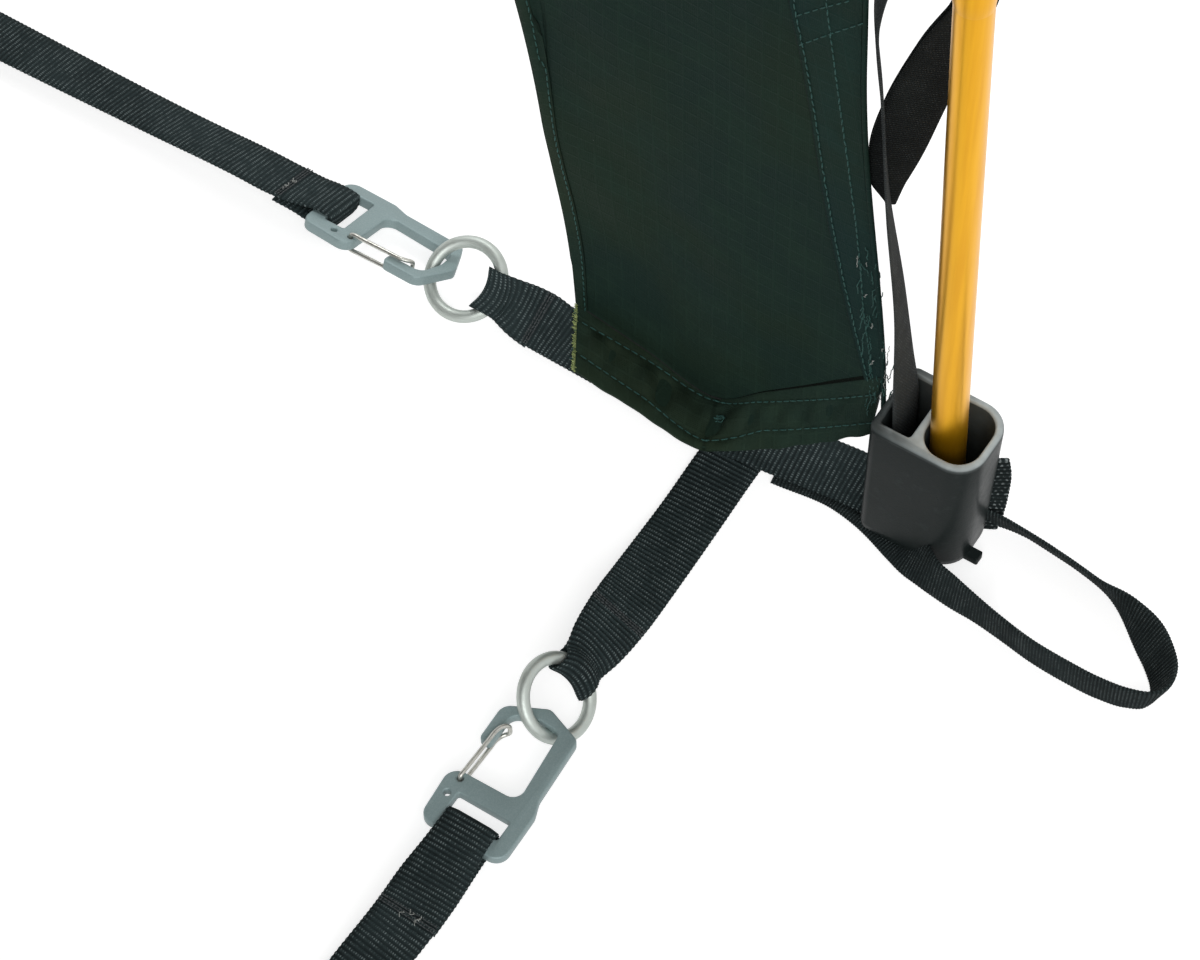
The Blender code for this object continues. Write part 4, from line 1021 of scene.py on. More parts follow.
# Base straps between the hooks: rows of u, height over the hook's middle and width, then places on the ground
TURN_U, STRAP_V = 21.3, -0.9
STRAP_TOP = ((TURN_U, 1.3, 17.0), (TURN_U + 0.35, 2.45, 17.0), (TURN_U + 1.9, 2.78, 17.0),
             (28.6, 2.74, 17.4), (34.0, 1.7, 18.4))
STRAP_UNDER = {"side": ((42.3, -0.85, 20.0),), "end": ((57.0, -0.81, 20.0), (46.0, -0.84, 20.0))}
STRAP_ON = ((44.0, 0.85, 20.0), (57.0, 0.81, 20.0))
BAR_AT = {"side": 40.2, "end": 55.0}
REST = {"end": (2.0, (((-215.0, -3.4, 5.2), 0, TILT_FRONT), ((-290.0, -2.0, 2.6), 0, TILT_FRONT),
                      ((-420.0, -1.0, 1.5), 0, TILT_FRONT), ((-560.0, -1.0, 1.4), 0, TILT_FRONT),
                      ((-700.0, -1.0, 1.4), 0, TILT_FRONT))),
        "side": (0.6, (((0.2, 215.0, 5.4), -22, TILT_SIDE), ((-0.4, 290.0, 3.6), -15, TILT_SIDE),
                       ((-0.2, 420.0, 2.2), -6, TILT_SIDE), ((0.4, 560.0, 1.6), 0, TILT_SIDE)))}


def strap_half(kind, sx, sy):
    """From inside the hook's slot round and back, then flat along the ground, in millimetres of the tent."""
    axes = HOOK_FRAMES[kind]
    eu, en = axes[1], axes[3]
    fall, rest = REST[kind]
    under = STRAP_UNDER[kind] + tuple((u, -n, w) for u, n, w in reversed(STRAP_TOP))
    ends = under + STRAP_TOP + STRAP_ON
    rows = []
    for i, (u, n, w) in enumerate(ends):
        a, b = ends[max(0, i - 1)], ends[min(len(ends) - 1, i + 1)]
        du, dn = b[0] - a[0], b[1] - a[1]
        ln = math.hypot(du, dn)
        normal = eu * (-dn / ln) + en * (du / ln)
        sunk = fall * smooth((u - 28.0) / 70.0)
        rows.append((framed(axes, u, STRAP_V, n) - UP * sunk, normal, w))
    rows += [(np.array(p), mix_axes(UP, tilt, roll), WEB_W) for p, roll, tilt in rest]
    turn = np.array((sx, -sy, 1.0))
    return [row(at_corner(p, sx, sy) / MM, n * turn, w) for p, n, w in rows]


FINE_LENGTH = 160.0


def base_strap(name, kind, first, second):
    """A strap from corner to corner, finely divided near its ends, with its stitches and loose threads."""
    rows = strap_half(kind, *first) + strap_half(kind, *second)[::-1]
    total, fine, coarse = length_of(rows), RIB_PITCH / 5, RIB_PITCH / 2
    near = np.arange(0.0, FINE_LENGTH, fine)
    middle = np.arange(near[-1] + fine, total - FINE_LENGTH, coarse)
    last = np.arange(middle[-1] + coarse, total, fine)
    shape = ribbon(rows, WEB_T, np.concatenate([near, middle, last]), 6)
    shape = shape.placed(shape.verts * MM, scale=MM)
    piece(name + "_webbing", ribbed(name, shape, BASE), BASE, instead=[name])
    lines, loose = [], []
    for sx, sy in (first, second):
        near = at_corner(framed(HOOK_FRAMES[kind], BAR_AT[kind], STRAP_V, 1.0), sx, sy) / MM
        bars = bar_lines(strap_half(kind, sx, sy), near)
        lines += [line * MM for line in bars]
        rng = np.random.default_rng(21)
        for _ in range(5):
            start = bars[1][rng.integers(5, 10)] * MM
            walk = np.cumsum(rng.normal(0, 0.00045, (7, 3)) + np.array((0.0, 0.0, 0.00008)), axis=0)
            loose.append(start + np.abs(walk) * np.array((0, 0, 1)) + walk * np.array((1, 1, 0)))
    sewn(name + "_bar_stitches", lines, BLACK, 1.3, 1.5, 0.55, 0.3)
    strands(name + "_pale_threads", loose, PALE, 0.11)


base_strap("base_strap_front", "end", (1, -1), (-1, -1))
base_strap("base_strap_back", "end", (1, 1), (-1, 1))
base_strap("base_strap_right", "side", (1, -1), (1, 1))
base_strap("base_strap_left", "side", (-1, -1), (-1, 1))


# Poles and sleeves
ALONG_STEP = 0.008
SECTION, JOINT_BACK, COLLAR, COLLAR_RISE = 0.44, 0.16, 0.048, 0.00035
POLE_SIDES, SLEEVE_SIDES = 28, 24
PUCKERS, PUCKER = 9, 0.00022


def arc(z):
    return HALF * (1.0 - (z / APEX_Z) ** ARCH_POWER) ** (1.0 / ARCH_POWER)


def pole_profile(lift=0.0, fine=1):
    """The pole's line in its own upright plane: distance from the middle and height."""
    z0, top = FOOT[2] * MM, STRAIGHT_Z
    low, bend, high = 3 * fine, 5 * fine, 12 * fine
    pts = [(HALF - POLE_LEAN * (top - z0) * k / low, z0 + (top - z0) * k / low) for k in range(low + 1)]
    r1 = arc(BLEND_Z)
    s1 = (arc(BLEND_Z + 0.001) - r1) / 0.001
    r0, dz = pts[-1][0], BLEND_Z - top
    for k in range(1, bend):
        t = k / bend
        r = ((2 * t ** 3 - 3 * t * t + 1) * r0 - (t ** 3 - 2 * t * t + t) * dz * POLE_LEAN
             + (3 * t * t - 2 * t ** 3) * r1 + (t ** 3 - t * t) * dz * s1)
        pts.append((r, top + dz * t))
    first = math.atan2((BLEND_Z / APEX_Z) ** (ARCH_POWER / 2), (r1 / HALF) ** (ARCH_POWER / 2))
    for k in range(high + 1):
        a = first + (math.pi / 2 - first) * k / high
        pts.append((HALF * max(0.0, math.cos(a)) ** (2 / ARCH_POWER),
                    APEX_Z * math.sin(a) ** (2 / ARCH_POWER)))
    return [(r, z + lift * float(smooth((LIFT_FROM - r) / LIFT_OVER))) for r, z in pts]


def across_tent(profile, sx, sy):
    near = [(sx * r * DIRX, sy * r * DIRY, z) for r, z in profile]
    return near + [(-x, -y, z) for x, y, z in near[:-1]][::-1]


def even(points, step):
    total = length_of(points)
    return flow(points, np.linspace(0.0, total * 0.999999, int(total / step)))


def pole_piece(name, node, sx, sy, lift):
    """A pole from foot to foot, with a thin collar at each joint of its sections and at both ends."""
    line = even(across_tent(pole_profile(lift, 4), sx, sy), ALONG_STEP)
    run = run_along(line)
    start = (sy * DIRY, -sx * DIRX, 0.0)
    shapes = [tube(line, POLE_D / 2, POLE_SIDES, start)]
    for k in range(1, int(run[-1] / SECTION) + 1):
        middle = k * SECTION - JOINT_BACK
        at = np.linspace(middle - COLLAR / 2, middle + COLLAR / 2, 17)
        spots = np.stack([np.interp(at, run, line[:, j]) for j in range(3)], axis=1)
        taper = np.clip((COLLAR / 2 - np.abs(at - middle)) / 0.002, 0.02, 1.0)
        shapes.append(tube(spots, POLE_D / 2 + COLLAR_RISE * taper, POLE_SIDES, start))
    for end in (line, line[::-1]):
        shapes.append(tube(end[:4], POLE_D / 2 + 0.0003, POLE_SIDES, start))
    piece(name, mesh_of(name, joined(shapes)), GOLD, instead=[node], creases=40)


pole_piece("pole_lower_tube", "pole_lower", 1, -1, 0.0)
pole_piece("pole_upper_tube", "pole_upper", -1, -1, POLE_LIFT)


def sleeve_piece(name, node, sx, sy, lift, seed):
    """Pole sleeve: a tube of cloth, drawn in at both mouths and puckered along its seam."""
    profile = [p for p in pole_profile(lift, 3) if p[1] > SLEEVE_Z]
    line = even(across_tent(profile, sx, sy), ALONG_STEP)
    n = len(line)
    t = unit(np.gradient(line, axis=0))
    flat = np.tile(unit(np.array((sy * DIRY, -sx * DIRX, 0.0))), (n, 1))
    rise = np.cross(t, flat)
    turn = 2 * np.pi * np.arange(SLEEVE_SIDES) / SLEEVE_SIDES
    rng = np.random.default_rng(seed)
    run = np.arange(n) * ALONG_STEP
    from_end = np.minimum(np.arange(n), n - 1 - np.arange(n)) * ALONG_STEP
    pucker = np.zeros((n, SLEEVE_SIDES))
    for _ in range(PUCKERS):
        wave, side_wave, shift = rng.uniform(18, 110), rng.integers(1, 5), rng.uniform(0, 6.28)
        pucker += np.sin(wave * np.arange(n)[:, None] * ALONG_STEP + side_wave * turn[None, :] + shift)
    bore, mouth = SLEEVE_D / 2 - CLOTH, POLE_D / 2 + 0.0004
    radius = mouth + (bore - mouth) * smooth(from_end / 0.045)[:, None]
    radius = radius + pucker * PUCKER * smooth(from_end / 0.03)[:, None]
    around = np.cos(turn)[None, :, None] * flat[:, None, :] + np.sin(turn)[None, :, None] * rise[:, None, :]
    outer, inner = (line[:, None, :] + (radius + extra)[..., None] * around for extra in (CLOTH, 0.0))
    shape = loft(np.concatenate([outer, inner[::-1]]), np.concatenate([run, run[::-1]]),
                 turn * SLEEVE_D / 2, closed=True)
    obj = piece(name, mesh_of(name, shape), SLEEVE, instead=[node])


sleeve_piece("sleeve_lower_cloth", "sleeve_lower", 1, -1, 0.0, 11)
sleeve_piece("sleeve_upper_cloth", "sleeve_upper", -1, -1, POLE_LIFT, 12)


# Fly: four walls of one dome. Along y they are the sides with the legs, along x the front and the back.
RIDGE_OUT = 0.0118


def ridge_line():
    """The walls' shared edge: beside the pole at the foot, close under the sleeve higher up."""
    prof = np.array(pole_profile(0.0, 4))
    pts = []
    slope = np.gradient(prof, axis=0)
    for (r, z), (tr, tz) in zip(prof, slope):
        ln = math.hypot(tr, tz)
        nr, nz = -tz / ln, tr / ln
        reach = r + nr * RIDGE_OUT
        high = np.array((reach * DIRX, reach * DIRY, z + nz * RIDGE_OUT))
        side = 0.0222 + 0.0092 * float(smooth((z - 0.05) / 0.16))
        low = np.array((r * DIRX + 0.0005, r * DIRY - side, z))
        p = low + (high - low) * float(smooth((z - 0.24) / 0.18))
        if p[0] > 0.012 and (not pts or p[2] > pts[-1][2] + 0.0003):
            pts.append(p)
    return np.array(pts + [np.array((0.0045, 0.0045 * FOOT_Y / FOOT_X, APEX_Z - RIDGE_OUT))])


RIDGE = ridge_line()
RUN = run_along(RIDGE)


def ridge_at(values, x):
    """Points of the ridge where its values, such as heights or runs, are x."""
    return np.stack([np.interp(x, values, RIDGE[:, k]) for k in range(3)], axis=-1)


def run_at(z):
    return np.interp(z, RIDGE[:, 2], RUN)


def bezier(p0, p1, p2, p3, t):
    u = 1 - t
    parts = u ** 3, 3 * u * u * t, 3 * u * t * t, t ** 3
    return tuple(parts[0] * a + parts[1] * b + parts[2] * c + parts[3] * d
                 for a, b, c, d in zip(p0, p1, p2, p3))


# The hem band's lower and upper edges, from the leg's free edge to the ridge, in millimetres of a corner
HEM_OUT = ((-9.2, 57.7, 3.75), (-11.2, 32.4, 3.75), (-12.4, 8.6, 3.9),
           (-4.5, -7.8, 7.8), (0.6, -23.5, 18.0), (5.4, -40.0, 31.0))
HEM_IN = ((11.5, 70.0, 4.6), (8.5, 43.0, 4.6), (4.6, 13.7, 5.8),
          (4.3, -4.0, 25.0), (4.2, -21.0, 43.0), (3.0, -42.6, 67.0))
LEG_DRAW = 0.0095
FOOT_IN = at_corner(HEM_IN[0])
SIDE_CURVE = ((FOOT_IN[1] - 0.0002, FOOT_IN[2] + 0.003), (FOOT_IN[1] - 0.005, 0.40),
              (0.52, SIDE_ARCH_Z), (0.0, SIDE_ARCH_Z))
START, TOP_IN = ridge_at(RIDGE[:, 2], DOOR_FOOT_Z), ridge_at(RIDGE[:, 2], DOOR_FOOT_Z + 0.06)
DOOR_CURVE = ((START[0] - EDGE, DOOR_FOOT_Z), (TOP_IN[0] - 0.05, 0.62),
              (0.50, DOOR_ARCH_Z), (0.0, DOOR_ARCH_Z))
SIDE_EDGE = np.array([bezier(*SIDE_CURVE, k / 200) for k in range(201)])
DOOR_RUN = float(run_at(DOOR_FOOT_Z))


def drawn(y, width, z):
    """The leg's free edge is drawn toward the ridge above the foot; the pull fades out below the arch."""
    pull = LEG_DRAW * smooth((z - 0.01) / 0.25) * (1 - smooth((z - 0.32) / 0.16))
    edge = np.interp(z, SIDE_EDGE[:, 1], SIDE_EDGE[:, 0])
    share = np.where(edge < width, (width - y) / np.maximum(width - edge, 1e-6), 0.0)
    return y + pull * np.clip(share, 0.0, 1.0)


def wall_point(along, w, run):
    """A point of a wall: w is 0 at the wall's middle and 1 at the ridge, and run goes up the ridge."""
    p = ridge_at(RUN, run)
    if along == "y":
        width = p[..., 1] - EDGE
        return np.stack([p[..., 0], drawn(w * width, width, p[..., 2]), p[..., 2]], axis=-1)
    return np.stack([w * (p[..., 0] - EDGE), p[..., 1], p[..., 2]], axis=-1)


HEM_ROWS, RISE_ROWS, TOP_ROWS, ARCH_COLUMNS = 5, 46, 44, 62
ROW_POWER, COLUMN_POWER = 1.15, 1.25
FOOT_FADE = 0.11


def leg_columns():
    """Outer and inner edges of the hem band, from the ridge to the leg's free edge, finely divided."""
    both = np.concatenate([at_corner(HEM_OUT)[::-1], at_corner(HEM_IN)[::-1]], axis=1)
    fine = flow(both, 0.0022)
    return fine[:, :3], fine[:, 3:]


def side_runs(run):
    """Runs up the ridge of a side wall's column: to the door's foot, then to the top."""
    low = run + (DOOR_RUN - run) * (np.arange(RISE_ROWS) / RISE_ROWS) ** ROW_POWER
    return np.concatenate([low, DOOR_RUN + (RUN[-1] - DOOR_RUN) * np.arange(TOP_ROWS + 1) / TOP_ROWS])


def from_foot(w, foot, at):
    """A side wall's column that starts at its foot and eases into the wall."""
    run = float(run_at(foot[2]))
    shift = foot - wall_point("y", w, np.array(run))
    return wall_point("y", w, at) + shift * (1 - smooth((at - run) / FOOT_FADE))[:, None]


def leg_part():
    """The columns of a side wall that stand on the hem band: points, share of the width, runs."""
    columns = []
    for lower, inner in zip(*leg_columns()):
        width = ridge_at(RIDGE[:, 2], inner[2])[1] - EDGE
        w, run = min(inner[1] / width, 1.0), float(run_at(inner[2]))
        hem = [lower + (inner - lower) * k / HEM_ROWS for k in range(HEM_ROWS)]
        at = side_runs(run)
        points = np.concatenate([hem, from_foot(w, inner, at)])
        columns.append((points, w, np.concatenate([[run - 0.012] * HEM_ROWS, at])))
    return columns


def arch_part(along):
    """The columns of a wall that start on its arch, from the ridge to the wall's middle."""
    curve, rise, power = (SIDE_CURVE, RISE_ROWS, ROW_POWER) if along == "y" else (DOOR_CURVE, 0, 1.0)
    columns = []
    for j in range(ARCH_COLUMNS + 1):
        a, z = bezier(*curve, (j / ARCH_COLUMNS) ** (COLUMN_POWER if along == "y" else 1.0))
        p = ridge_at(RIDGE[:, 2], z)
        w = min(a / ((p[1] if along == "y" else p[0]) - EDGE), 1.0)
        run = float(run_at(z))
        if along == "y" and run < DOOR_RUN:
            at = side_runs(run)
        else:
            part = np.arange(rise + TOP_ROWS + 1) / (rise + TOP_ROWS)
            at = run + (RUN[-1] - run) * part ** power
        at_foot = along == "y" and run < 0.09
        columns.append((from_foot(w, FOOT_IN, at) if at_foot else wall_point(along, w, at), w, at))
    return columns


def creased(points, along, seed):
    """Soft wrinkles of taut cloth that run down toward the feet, and finer folds in the legs."""
    rng = np.random.default_rng(seed)
    a, z = points[:, 1 if along == "y" else 0], points[:, 2]
    wide, fine = np.zeros(len(points)), np.zeros(len(points))
    for _ in range(14):
        k, slant, shift = rng.uniform(9, 46), rng.uniform(-0.6, 0.6), rng.uniform(0, 6.28)
        size = rng.uniform(0.4, 1.0)
        wide += size * np.sin(k * (a + slant * z) + shift) * np.sin(rng.uniform(2, 7) * z + shift)
    for _ in range(10):
        k, slant, shift = rng.uniform(50, 190), rng.uniform(-0.75, 0.75), rng.uniform(0, 6.28)
        fold = (55 / k) * np.sin(k * (np.abs(a) + slant * z) + shift)
        fine += fold * np.sin(rng.uniform(14, 40) * z + shift)
    return wide * 0.00075 + fine * 0.0010 * (1 - smooth((z - 0.25) / 0.3))


def wall_piece(name, along, side, columns, seed):
    """A wall of cloth: its object, its area and its surface."""
    wide, out, hem_rows = (1, 0, HEM_ROWS) if along == "y" else (0, 1, 0)
    mirror, turn = np.ones(3), np.ones(3)
    mirror[wide], turn[out] = -1, side
    grid = columns + [(pts * mirror, -w, at) for pts, w, at in columns[:-1][::-1]]
    rows = max(len(pts) for pts, w, at in grid)
    index, verts, runs, height, share = [], [], [], [], []
    for pts, w, at in grid:
        index.append([-1] * (rows - len(pts)) + [len(verts) + k for k in range(len(pts))])
        verts += list(pts)
        runs += list(at)
        height += range(len(pts))
        share += [w] * len(pts)
    verts = np.array(verts)
    inside = smooth((np.array(height) - hem_rows) / 9.0)
    inside *= np.array([1 - abs(w) ** 8 for w in share]) * smooth((APEX_Z - verts[:, 2]) / 0.15)
    verts[:, out] += creased(verts, along, seed) * inside
    faces = []
    for c in range(len(grid) - 1):
        for r in range(rows - 1):
            q = (index[c][r], index[c + 1][r], index[c + 1][r + 1], index[c][r + 1])
            if min(q) >= 0:
                faces.append(q)
    shape = Shape(verts * turn, faces, runs, verts[:, wide])
    a, b, c = (shape.verts[faces[len(faces) // 3][k]] for k in (0, 1, 2))
    if np.dot(np.cross(b - a, c - a), a * np.array((1.0, 1.0, 0.0))) < 0:
        shape.faces = [f[::-1] for f in shape.faces]
    mesh = mesh_of(name + "_cloth", shape)
    obj = piece(name + "_cloth", mesh, FLY, instead=[name])
    mod = obj.modifiers.new("cloth", "SOLIDIFY")
    mod.thickness, mod.offset = CLOTH, 0.0
    area = sum(p.area for p in mesh.polygons)
    return obj, area, BVHTree.FromPolygons(shape.verts.tolist(), shape.faces)


side_columns, door_columns = leg_part() + arch_part("y"), arch_part("x")
WALL_TABLE = (("fly_side_right", "y", 1, side_columns, 3), ("fly_side_left", "y", -1, side_columns, 4),
              ("fly_front", "x", -1, door_columns, 5), ("fly_back", "x", 1, door_columns, 6))
WALLS, AREAS, SURFACES = {}, {}, {}
for name, along, side, columns, seed in WALL_TABLE:
    WALLS[name], AREAS[name], SURFACES[name] = wall_piece(name, along, side, columns, seed)


# Hems, seams and stitches of the fly
HEM_LINE = np.concatenate([at_corner(HEM_OUT), at_corner(HEM_IN)], axis=1)
HEM_RUN = run_along(HEM_LINE[:, :3])

# The hem's two stitch rows: a place along it, then the share of its width, as hem_at takes them
HEM_ROW_ONE = ((0, 0.75), (2, 0.93), (3, 0.82), (4.5, 0.72), (5, 0.70))
HEM_ROW_TWO = ((0, 0.25), (1, 0.22), (2, 0.13), (3, 0.32), (5, 0.20))
HEM_RISE, SEAM_RISE, EDGE_RISE = 0.00095, 0.00075, 0.00078
SEAM_W, EDGE_W, HEM_W, MITRE_W = 0.0245, 0.0046, 0.019, 0.024
CLOSE_Z = 0.34

# A seam's folded edge and its second stitch row: height, then how far toward the front, in millimetres
CREASE = ((56.0, -38.6), (60.9, -36.5), (83.3, -31.5), (107.0, -26.7), (131.7, -22.4),
          (156.9, -18.4), (181.1, -15.1), (203.8, -11.6), (215.3, -9.4), (226.1, -7.3))
SECOND = ((56.0, -41.0), (96.5, -35.5), (117.4, -33.7), (138.8, -31.5),
          (168.9, -27.5), (197.3, -23.5), (215.7, -21.0), (233.7, -18.6))

# Stitch rows that cross the leg above its seam: how far toward the front, then height
BOX_ROWS = (((-11.0, 223.0), (-18.1, 230.8), (-24.7, 237.8)),
            ((-12.0, 210.8), (-20.8, 221.3), (-29.0, 231.0)))

# The cross section of a seam and of an edge hem: places across, then heights and shades in shares; the shades
# are painted shade at the folds and stitch lines
SEAM_ACROSS = (0.0, 0.0005, 0.0011, 0.0019, 0.0026, 0.0036)
SEAM_HEIGHTS = (0.55, 1.15, 1.2, 0.8, 0.85, 1.0, 1.0, 0.95, 0.9, 0.9, 0.75)
SEAM_SHADES = (1.0, 0.35, 0.0, 0.3, 0.0, 0.0, 0.0, 0.0, 0.0, 0.0, 0.1)
EDGE_ACROSS = (0.0, 0.0006, 0.0014, 0.0026, 0.0036, 0.0044, EDGE_W)
EDGE_HEIGHTS = (0.55, 0.95, 1.05, 1.05, 0.75, 0.95, 0.6)
EDGE_SHADES = (0.1, 0.0, 0.0, 0.0, 0.3, 0.1, 0.8)


def hem_at(place, share):
    """Points of the hem band: place counts corners from the leg's free edge, share goes from the foot up."""
    q = flow(HEM_LINE, np.interp(place, range(6), HEM_RUN))
    return q[:, :3] + (q[:, 3:] - q[:, :3]) * np.asarray(share)[..., None]


def hem_normal(place, share):
    onward = hem_at(place + 0.03, share) - hem_at(place - 0.03, share)
    upward = hem_at(place, share + 0.05) - hem_at(place, share - 0.05)
    return unit(np.cross(onward, upward))


def grid_normal(grid):
    return unit(np.cross(np.gradient(grid, axis=0), np.gradient(grid, axis=1)))


def row_share(table, place):
    return np.interp(place, *zip(*table))


def bell(distance, width):
    return np.exp(-(distance / width) ** 2)


def wrapped(grid, normal, rise, shade):
    """A closed strip of folded cloth on both sides of a sheet, from a grid of points of its middle."""
    up = normal * rise[..., None]
    made = loft(np.concatenate([grid + up, (grid - up)[:, ::-1]], axis=1), run_along(grid[:, 0]))
    steps = np.linalg.norm(np.diff(grid, axis=1), axis=2)
    wide = np.concatenate([np.zeros((len(grid), 1)), np.cumsum(steps, axis=1)], axis=1)
    made.across = np.concatenate([wide, wide[:, ::-1]], axis=1).ravel()
    made.shade = np.concatenate([shade, shade[:, ::-1]], axis=1).ravel()
    return made


def hem_band(seed):
    """The band along the leg's foot: folded cloth that puckers between its stitch rows, with a mitre."""
    rng = np.random.default_rng(seed)
    count, rows = 160, 32
    place = np.interp(np.linspace(0.0, HEM_RUN[-1], count), HEM_RUN, range(6))
    share = np.concatenate([np.linspace(-0.03, 0.985, rows - 2), (0.998, 1.02, 1.045)])
    flat_place, flat_share = np.repeat(place, rows + 1), np.tile(share, count)
    grid = hem_at(flat_place, flat_share).reshape(count, rows + 1, 3)
    normal = grid_normal(grid)
    run, u = np.linspace(0.0, HEM_RUN[-1], count)[:, None], share[None, :]
    wave = np.zeros((count, rows + 1))
    for _ in range(9):
        turns = run / rng.uniform(0.006, 0.019) + u * rng.uniform(-0.7, 0.7)
        wave += np.sin(2 * math.pi * turns + rng.uniform(0, 6.28)) * rng.uniform(0.3, 1.0)
    sewn_at = [row_share(table, place)[:, None] for table in (HEM_ROW_ONE, HEM_ROW_TWO)]
    middle = bell(u - (sewn_at[0] + sewn_at[1]) / 2, 0.24)
    pull = 0.75 + 0.25 * np.cos(2 * math.pi * run / 0.003)
    groove = sum(bell((u - s) * HEM_W, 0.0007) * pull for s in sewn_at)
    held = np.prod([1 - bell((u - s) * HEM_W, 0.0018) for s in sewn_at], axis=0)
    mitre = bell((place[:, None] - 2.02) * MITRE_W, 0.00055) * np.ones_like(u)
    lower, upper = np.clip((0.06 - u) / 0.09, 0, 1) ** 2, np.clip((u - 0.96) / 0.03, 0, 1) ** 2
    rise = HEM_RISE * (1 - 0.5 * lower - 0.25 * upper) + 0.00032 * middle * (1 + 0.5 * wave)
    rise = np.maximum(rise - 0.00042 * groove - 0.00045 * mitre, 0.00042)
    # Past the fold's edge a thin strip lies on the wall, made dark by its shade: a painted shadow under the
    # fold
    fold = 0.00045 + 0.0008 * (1 - smooth((place[:, None] - 1.6) / 0.8))
    rise = np.where(u > 1.0, fold, rise)
    swell = 0.00055 * wave * held * (0.3 + middle) * np.clip((1.0 - u) / 0.2, 0, 1)
    # Painted shade: darker in the stitch grooves, at the mitre, under the upper fold and in the puckers'
    # hollows
    shade = 0.35 * groove + 0.7 * mitre + np.clip((u - 0.99) / 0.008, 0, 1)
    shade = np.clip(shade + 0.30 * np.clip(-wave / 3, 0, 1) * middle, 0, 1)
    band = wrapped(grid + normal * swell[..., None], normal, rise, shade)
    band.verts[:, 2] = np.maximum(band.verts[:, 2], 0.0003)
    return band


def on_wall(wall, points):
    return np.array([SURFACES[wall].find_nearest(Vector(p))[0][:] for p in points])


def seam_rows(along, table):
    """Places up the ridge and how wide the seam is there."""
    low = 0.056 if along == "y" else DOOR_FOOT_Z + 0.004
    near = np.arange(float(run_at(low)), float(run_at(0.36)), 0.0028)
    far = np.arange(near[-1] + 0.012, RUN[-1] - 0.03, 0.012)
    ridge = ridge_at(RUN, np.concatenate([near, far]))
    zs, ys = zip(*table)
    edge = np.interp(ridge[:, 2] / MM, zs, ys)
    top = ridge_at(RIDGE[:, 2], zs[-1] * MM)[1]
    width = np.where(ridge[:, 2] < zs[-1] * MM, ridge[:, 1] - (JY - edge * MM), top - (JY - ys[-1] * MM))
    if along == "x":
        width = np.full(len(ridge), SEAM_W)
    return ridge, np.minimum(width, 0.8 * (ridge[:, 1] if along == "y" else ridge[:, 0]))


def near_and_far(line, low, lines, far_lines):
    """Adds a stitch line to the rows seen close by and to those above."""
    if low.sum() > 1:
        lines.append(line[low])
    far_lines.append(line[~low])


def seam(wall, along, turn, lines, far_lines):
    """Felled seam beside the ridge: a folded strip; its two stitch rows go to the lines."""
    ridge, width = seam_rows(along, CREASE)
    axis = np.array((0.0, 1.0, 0.0)) if along == "y" else np.array((1.0, 0.0, 0.0))
    cols = []
    for k in range(len(SEAM_HEIGHTS)):
        if k < len(SEAM_ACROSS):
            d = width - np.minimum(SEAM_ACROSS[k], width * (0.1 * k))
        else:
            d = (width - np.minimum(SEAM_ACROSS[-1], 0.5 * width)) * (1 - (k - 5) / 5.0) + 0.0004
        cols.append(ridge - axis * d[:, None])
    grid = np.stack(cols, axis=1) * turn
    grid = on_wall(wall, grid.reshape(-1, 3)).reshape(grid.shape)
    rise = np.tile(np.array(SEAM_HEIGHTS) * SEAM_RISE, (len(ridge), 1))
    strip = wrapped(grid, grid_normal(grid), rise, np.tile(np.array(SEAM_SHADES), (len(ridge), 1)))
    for table in (CREASE, SECOND):
        ridge, width = seam_rows(along, table)
        if table is CREASE:
            width = width - np.minimum(0.0019, 0.4 * width)
        elif along == "x":
            width = width * 0.45
        spots = on_wall(wall, (ridge - axis * width[:, None]) * turn)
        n = unit(np.cross(np.gradient(spots, axis=0), ridge * turn - spots))
        for side in (1, -1):
            near_and_far(spots + n * side * SEAM_RISE * 1.05, ridge[:, 2] < CLOSE_Z, lines, far_lines)
    return strip


def ridge_web(turn):
    """The strip of cloth that joins the walls' shared edge to the pole sleeve above it."""
    away = np.hypot(RIDGE[:, 0], RIDGE[:, 1])
    kept = (RIDGE[:, 2] > 0.42) & (away > 0.016)
    line, across = RIDGE[kept], np.array((DIRY, -DIRX, 0.0))
    out = unit(np.cross(unit(np.gradient(line, axis=0)), across))
    over = turn[0] * turn[1] > 0
    lift = POLE_LIFT * smooth((LIFT_FROM - away[kept]) / LIFT_OVER) * (1.0 if over else 0.0)
    rings = np.stack([line - out * 0.001, line + out * 0.0045 + UP * lift[:, None]], axis=1) * turn
    wide = np.tile(across * turn * CLOTH, (len(line), 2, 1))
    return loft(np.concatenate([rings + wide, (rings - wide)[:, ::-1]], axis=1))


def edge_hem(wall, along, turn, columns, lines, far_lines):
    """Narrow rolled hem along the arch and down the leg's free edge; its stitch row goes to the lines."""
    edge = flow(np.array([points[0] for points, w, at in columns[-1 - ARCH_COLUMNS:]]), 0.0045)
    out = np.array((1.0, 0.0, 0.0)) if along == "y" else np.array((0.0, -1.0, 0.0))
    inward = unit(np.cross(np.gradient(edge, axis=0), out))
    if along == "y":
        inward[0] = inward[1]
    grid = np.stack([edge + inward * d for d in EDGE_ACROSS], axis=1) * turn
    laid = on_wall(wall, grid.reshape(-1, 3)).reshape(grid.shape)
    laid[:, 0] -= inward * turn * 0.0005
    normal = grid_normal(laid)
    rise = np.tile(np.array(EDGE_HEIGHTS) * EDGE_RISE, (len(laid), 1))
    strip = wrapped(laid, normal, rise, np.tile(np.array(EDGE_SHADES), (len(laid), 1)))
    middle = laid[:, 4]
    low = middle[:, 2] < (CLOSE_Z if along == "y" else 0.0)
    for side in (1, -1):
        near_and_far(middle + normal[:, 4] * side * 0.00072, low, lines, far_lines)
    return strip


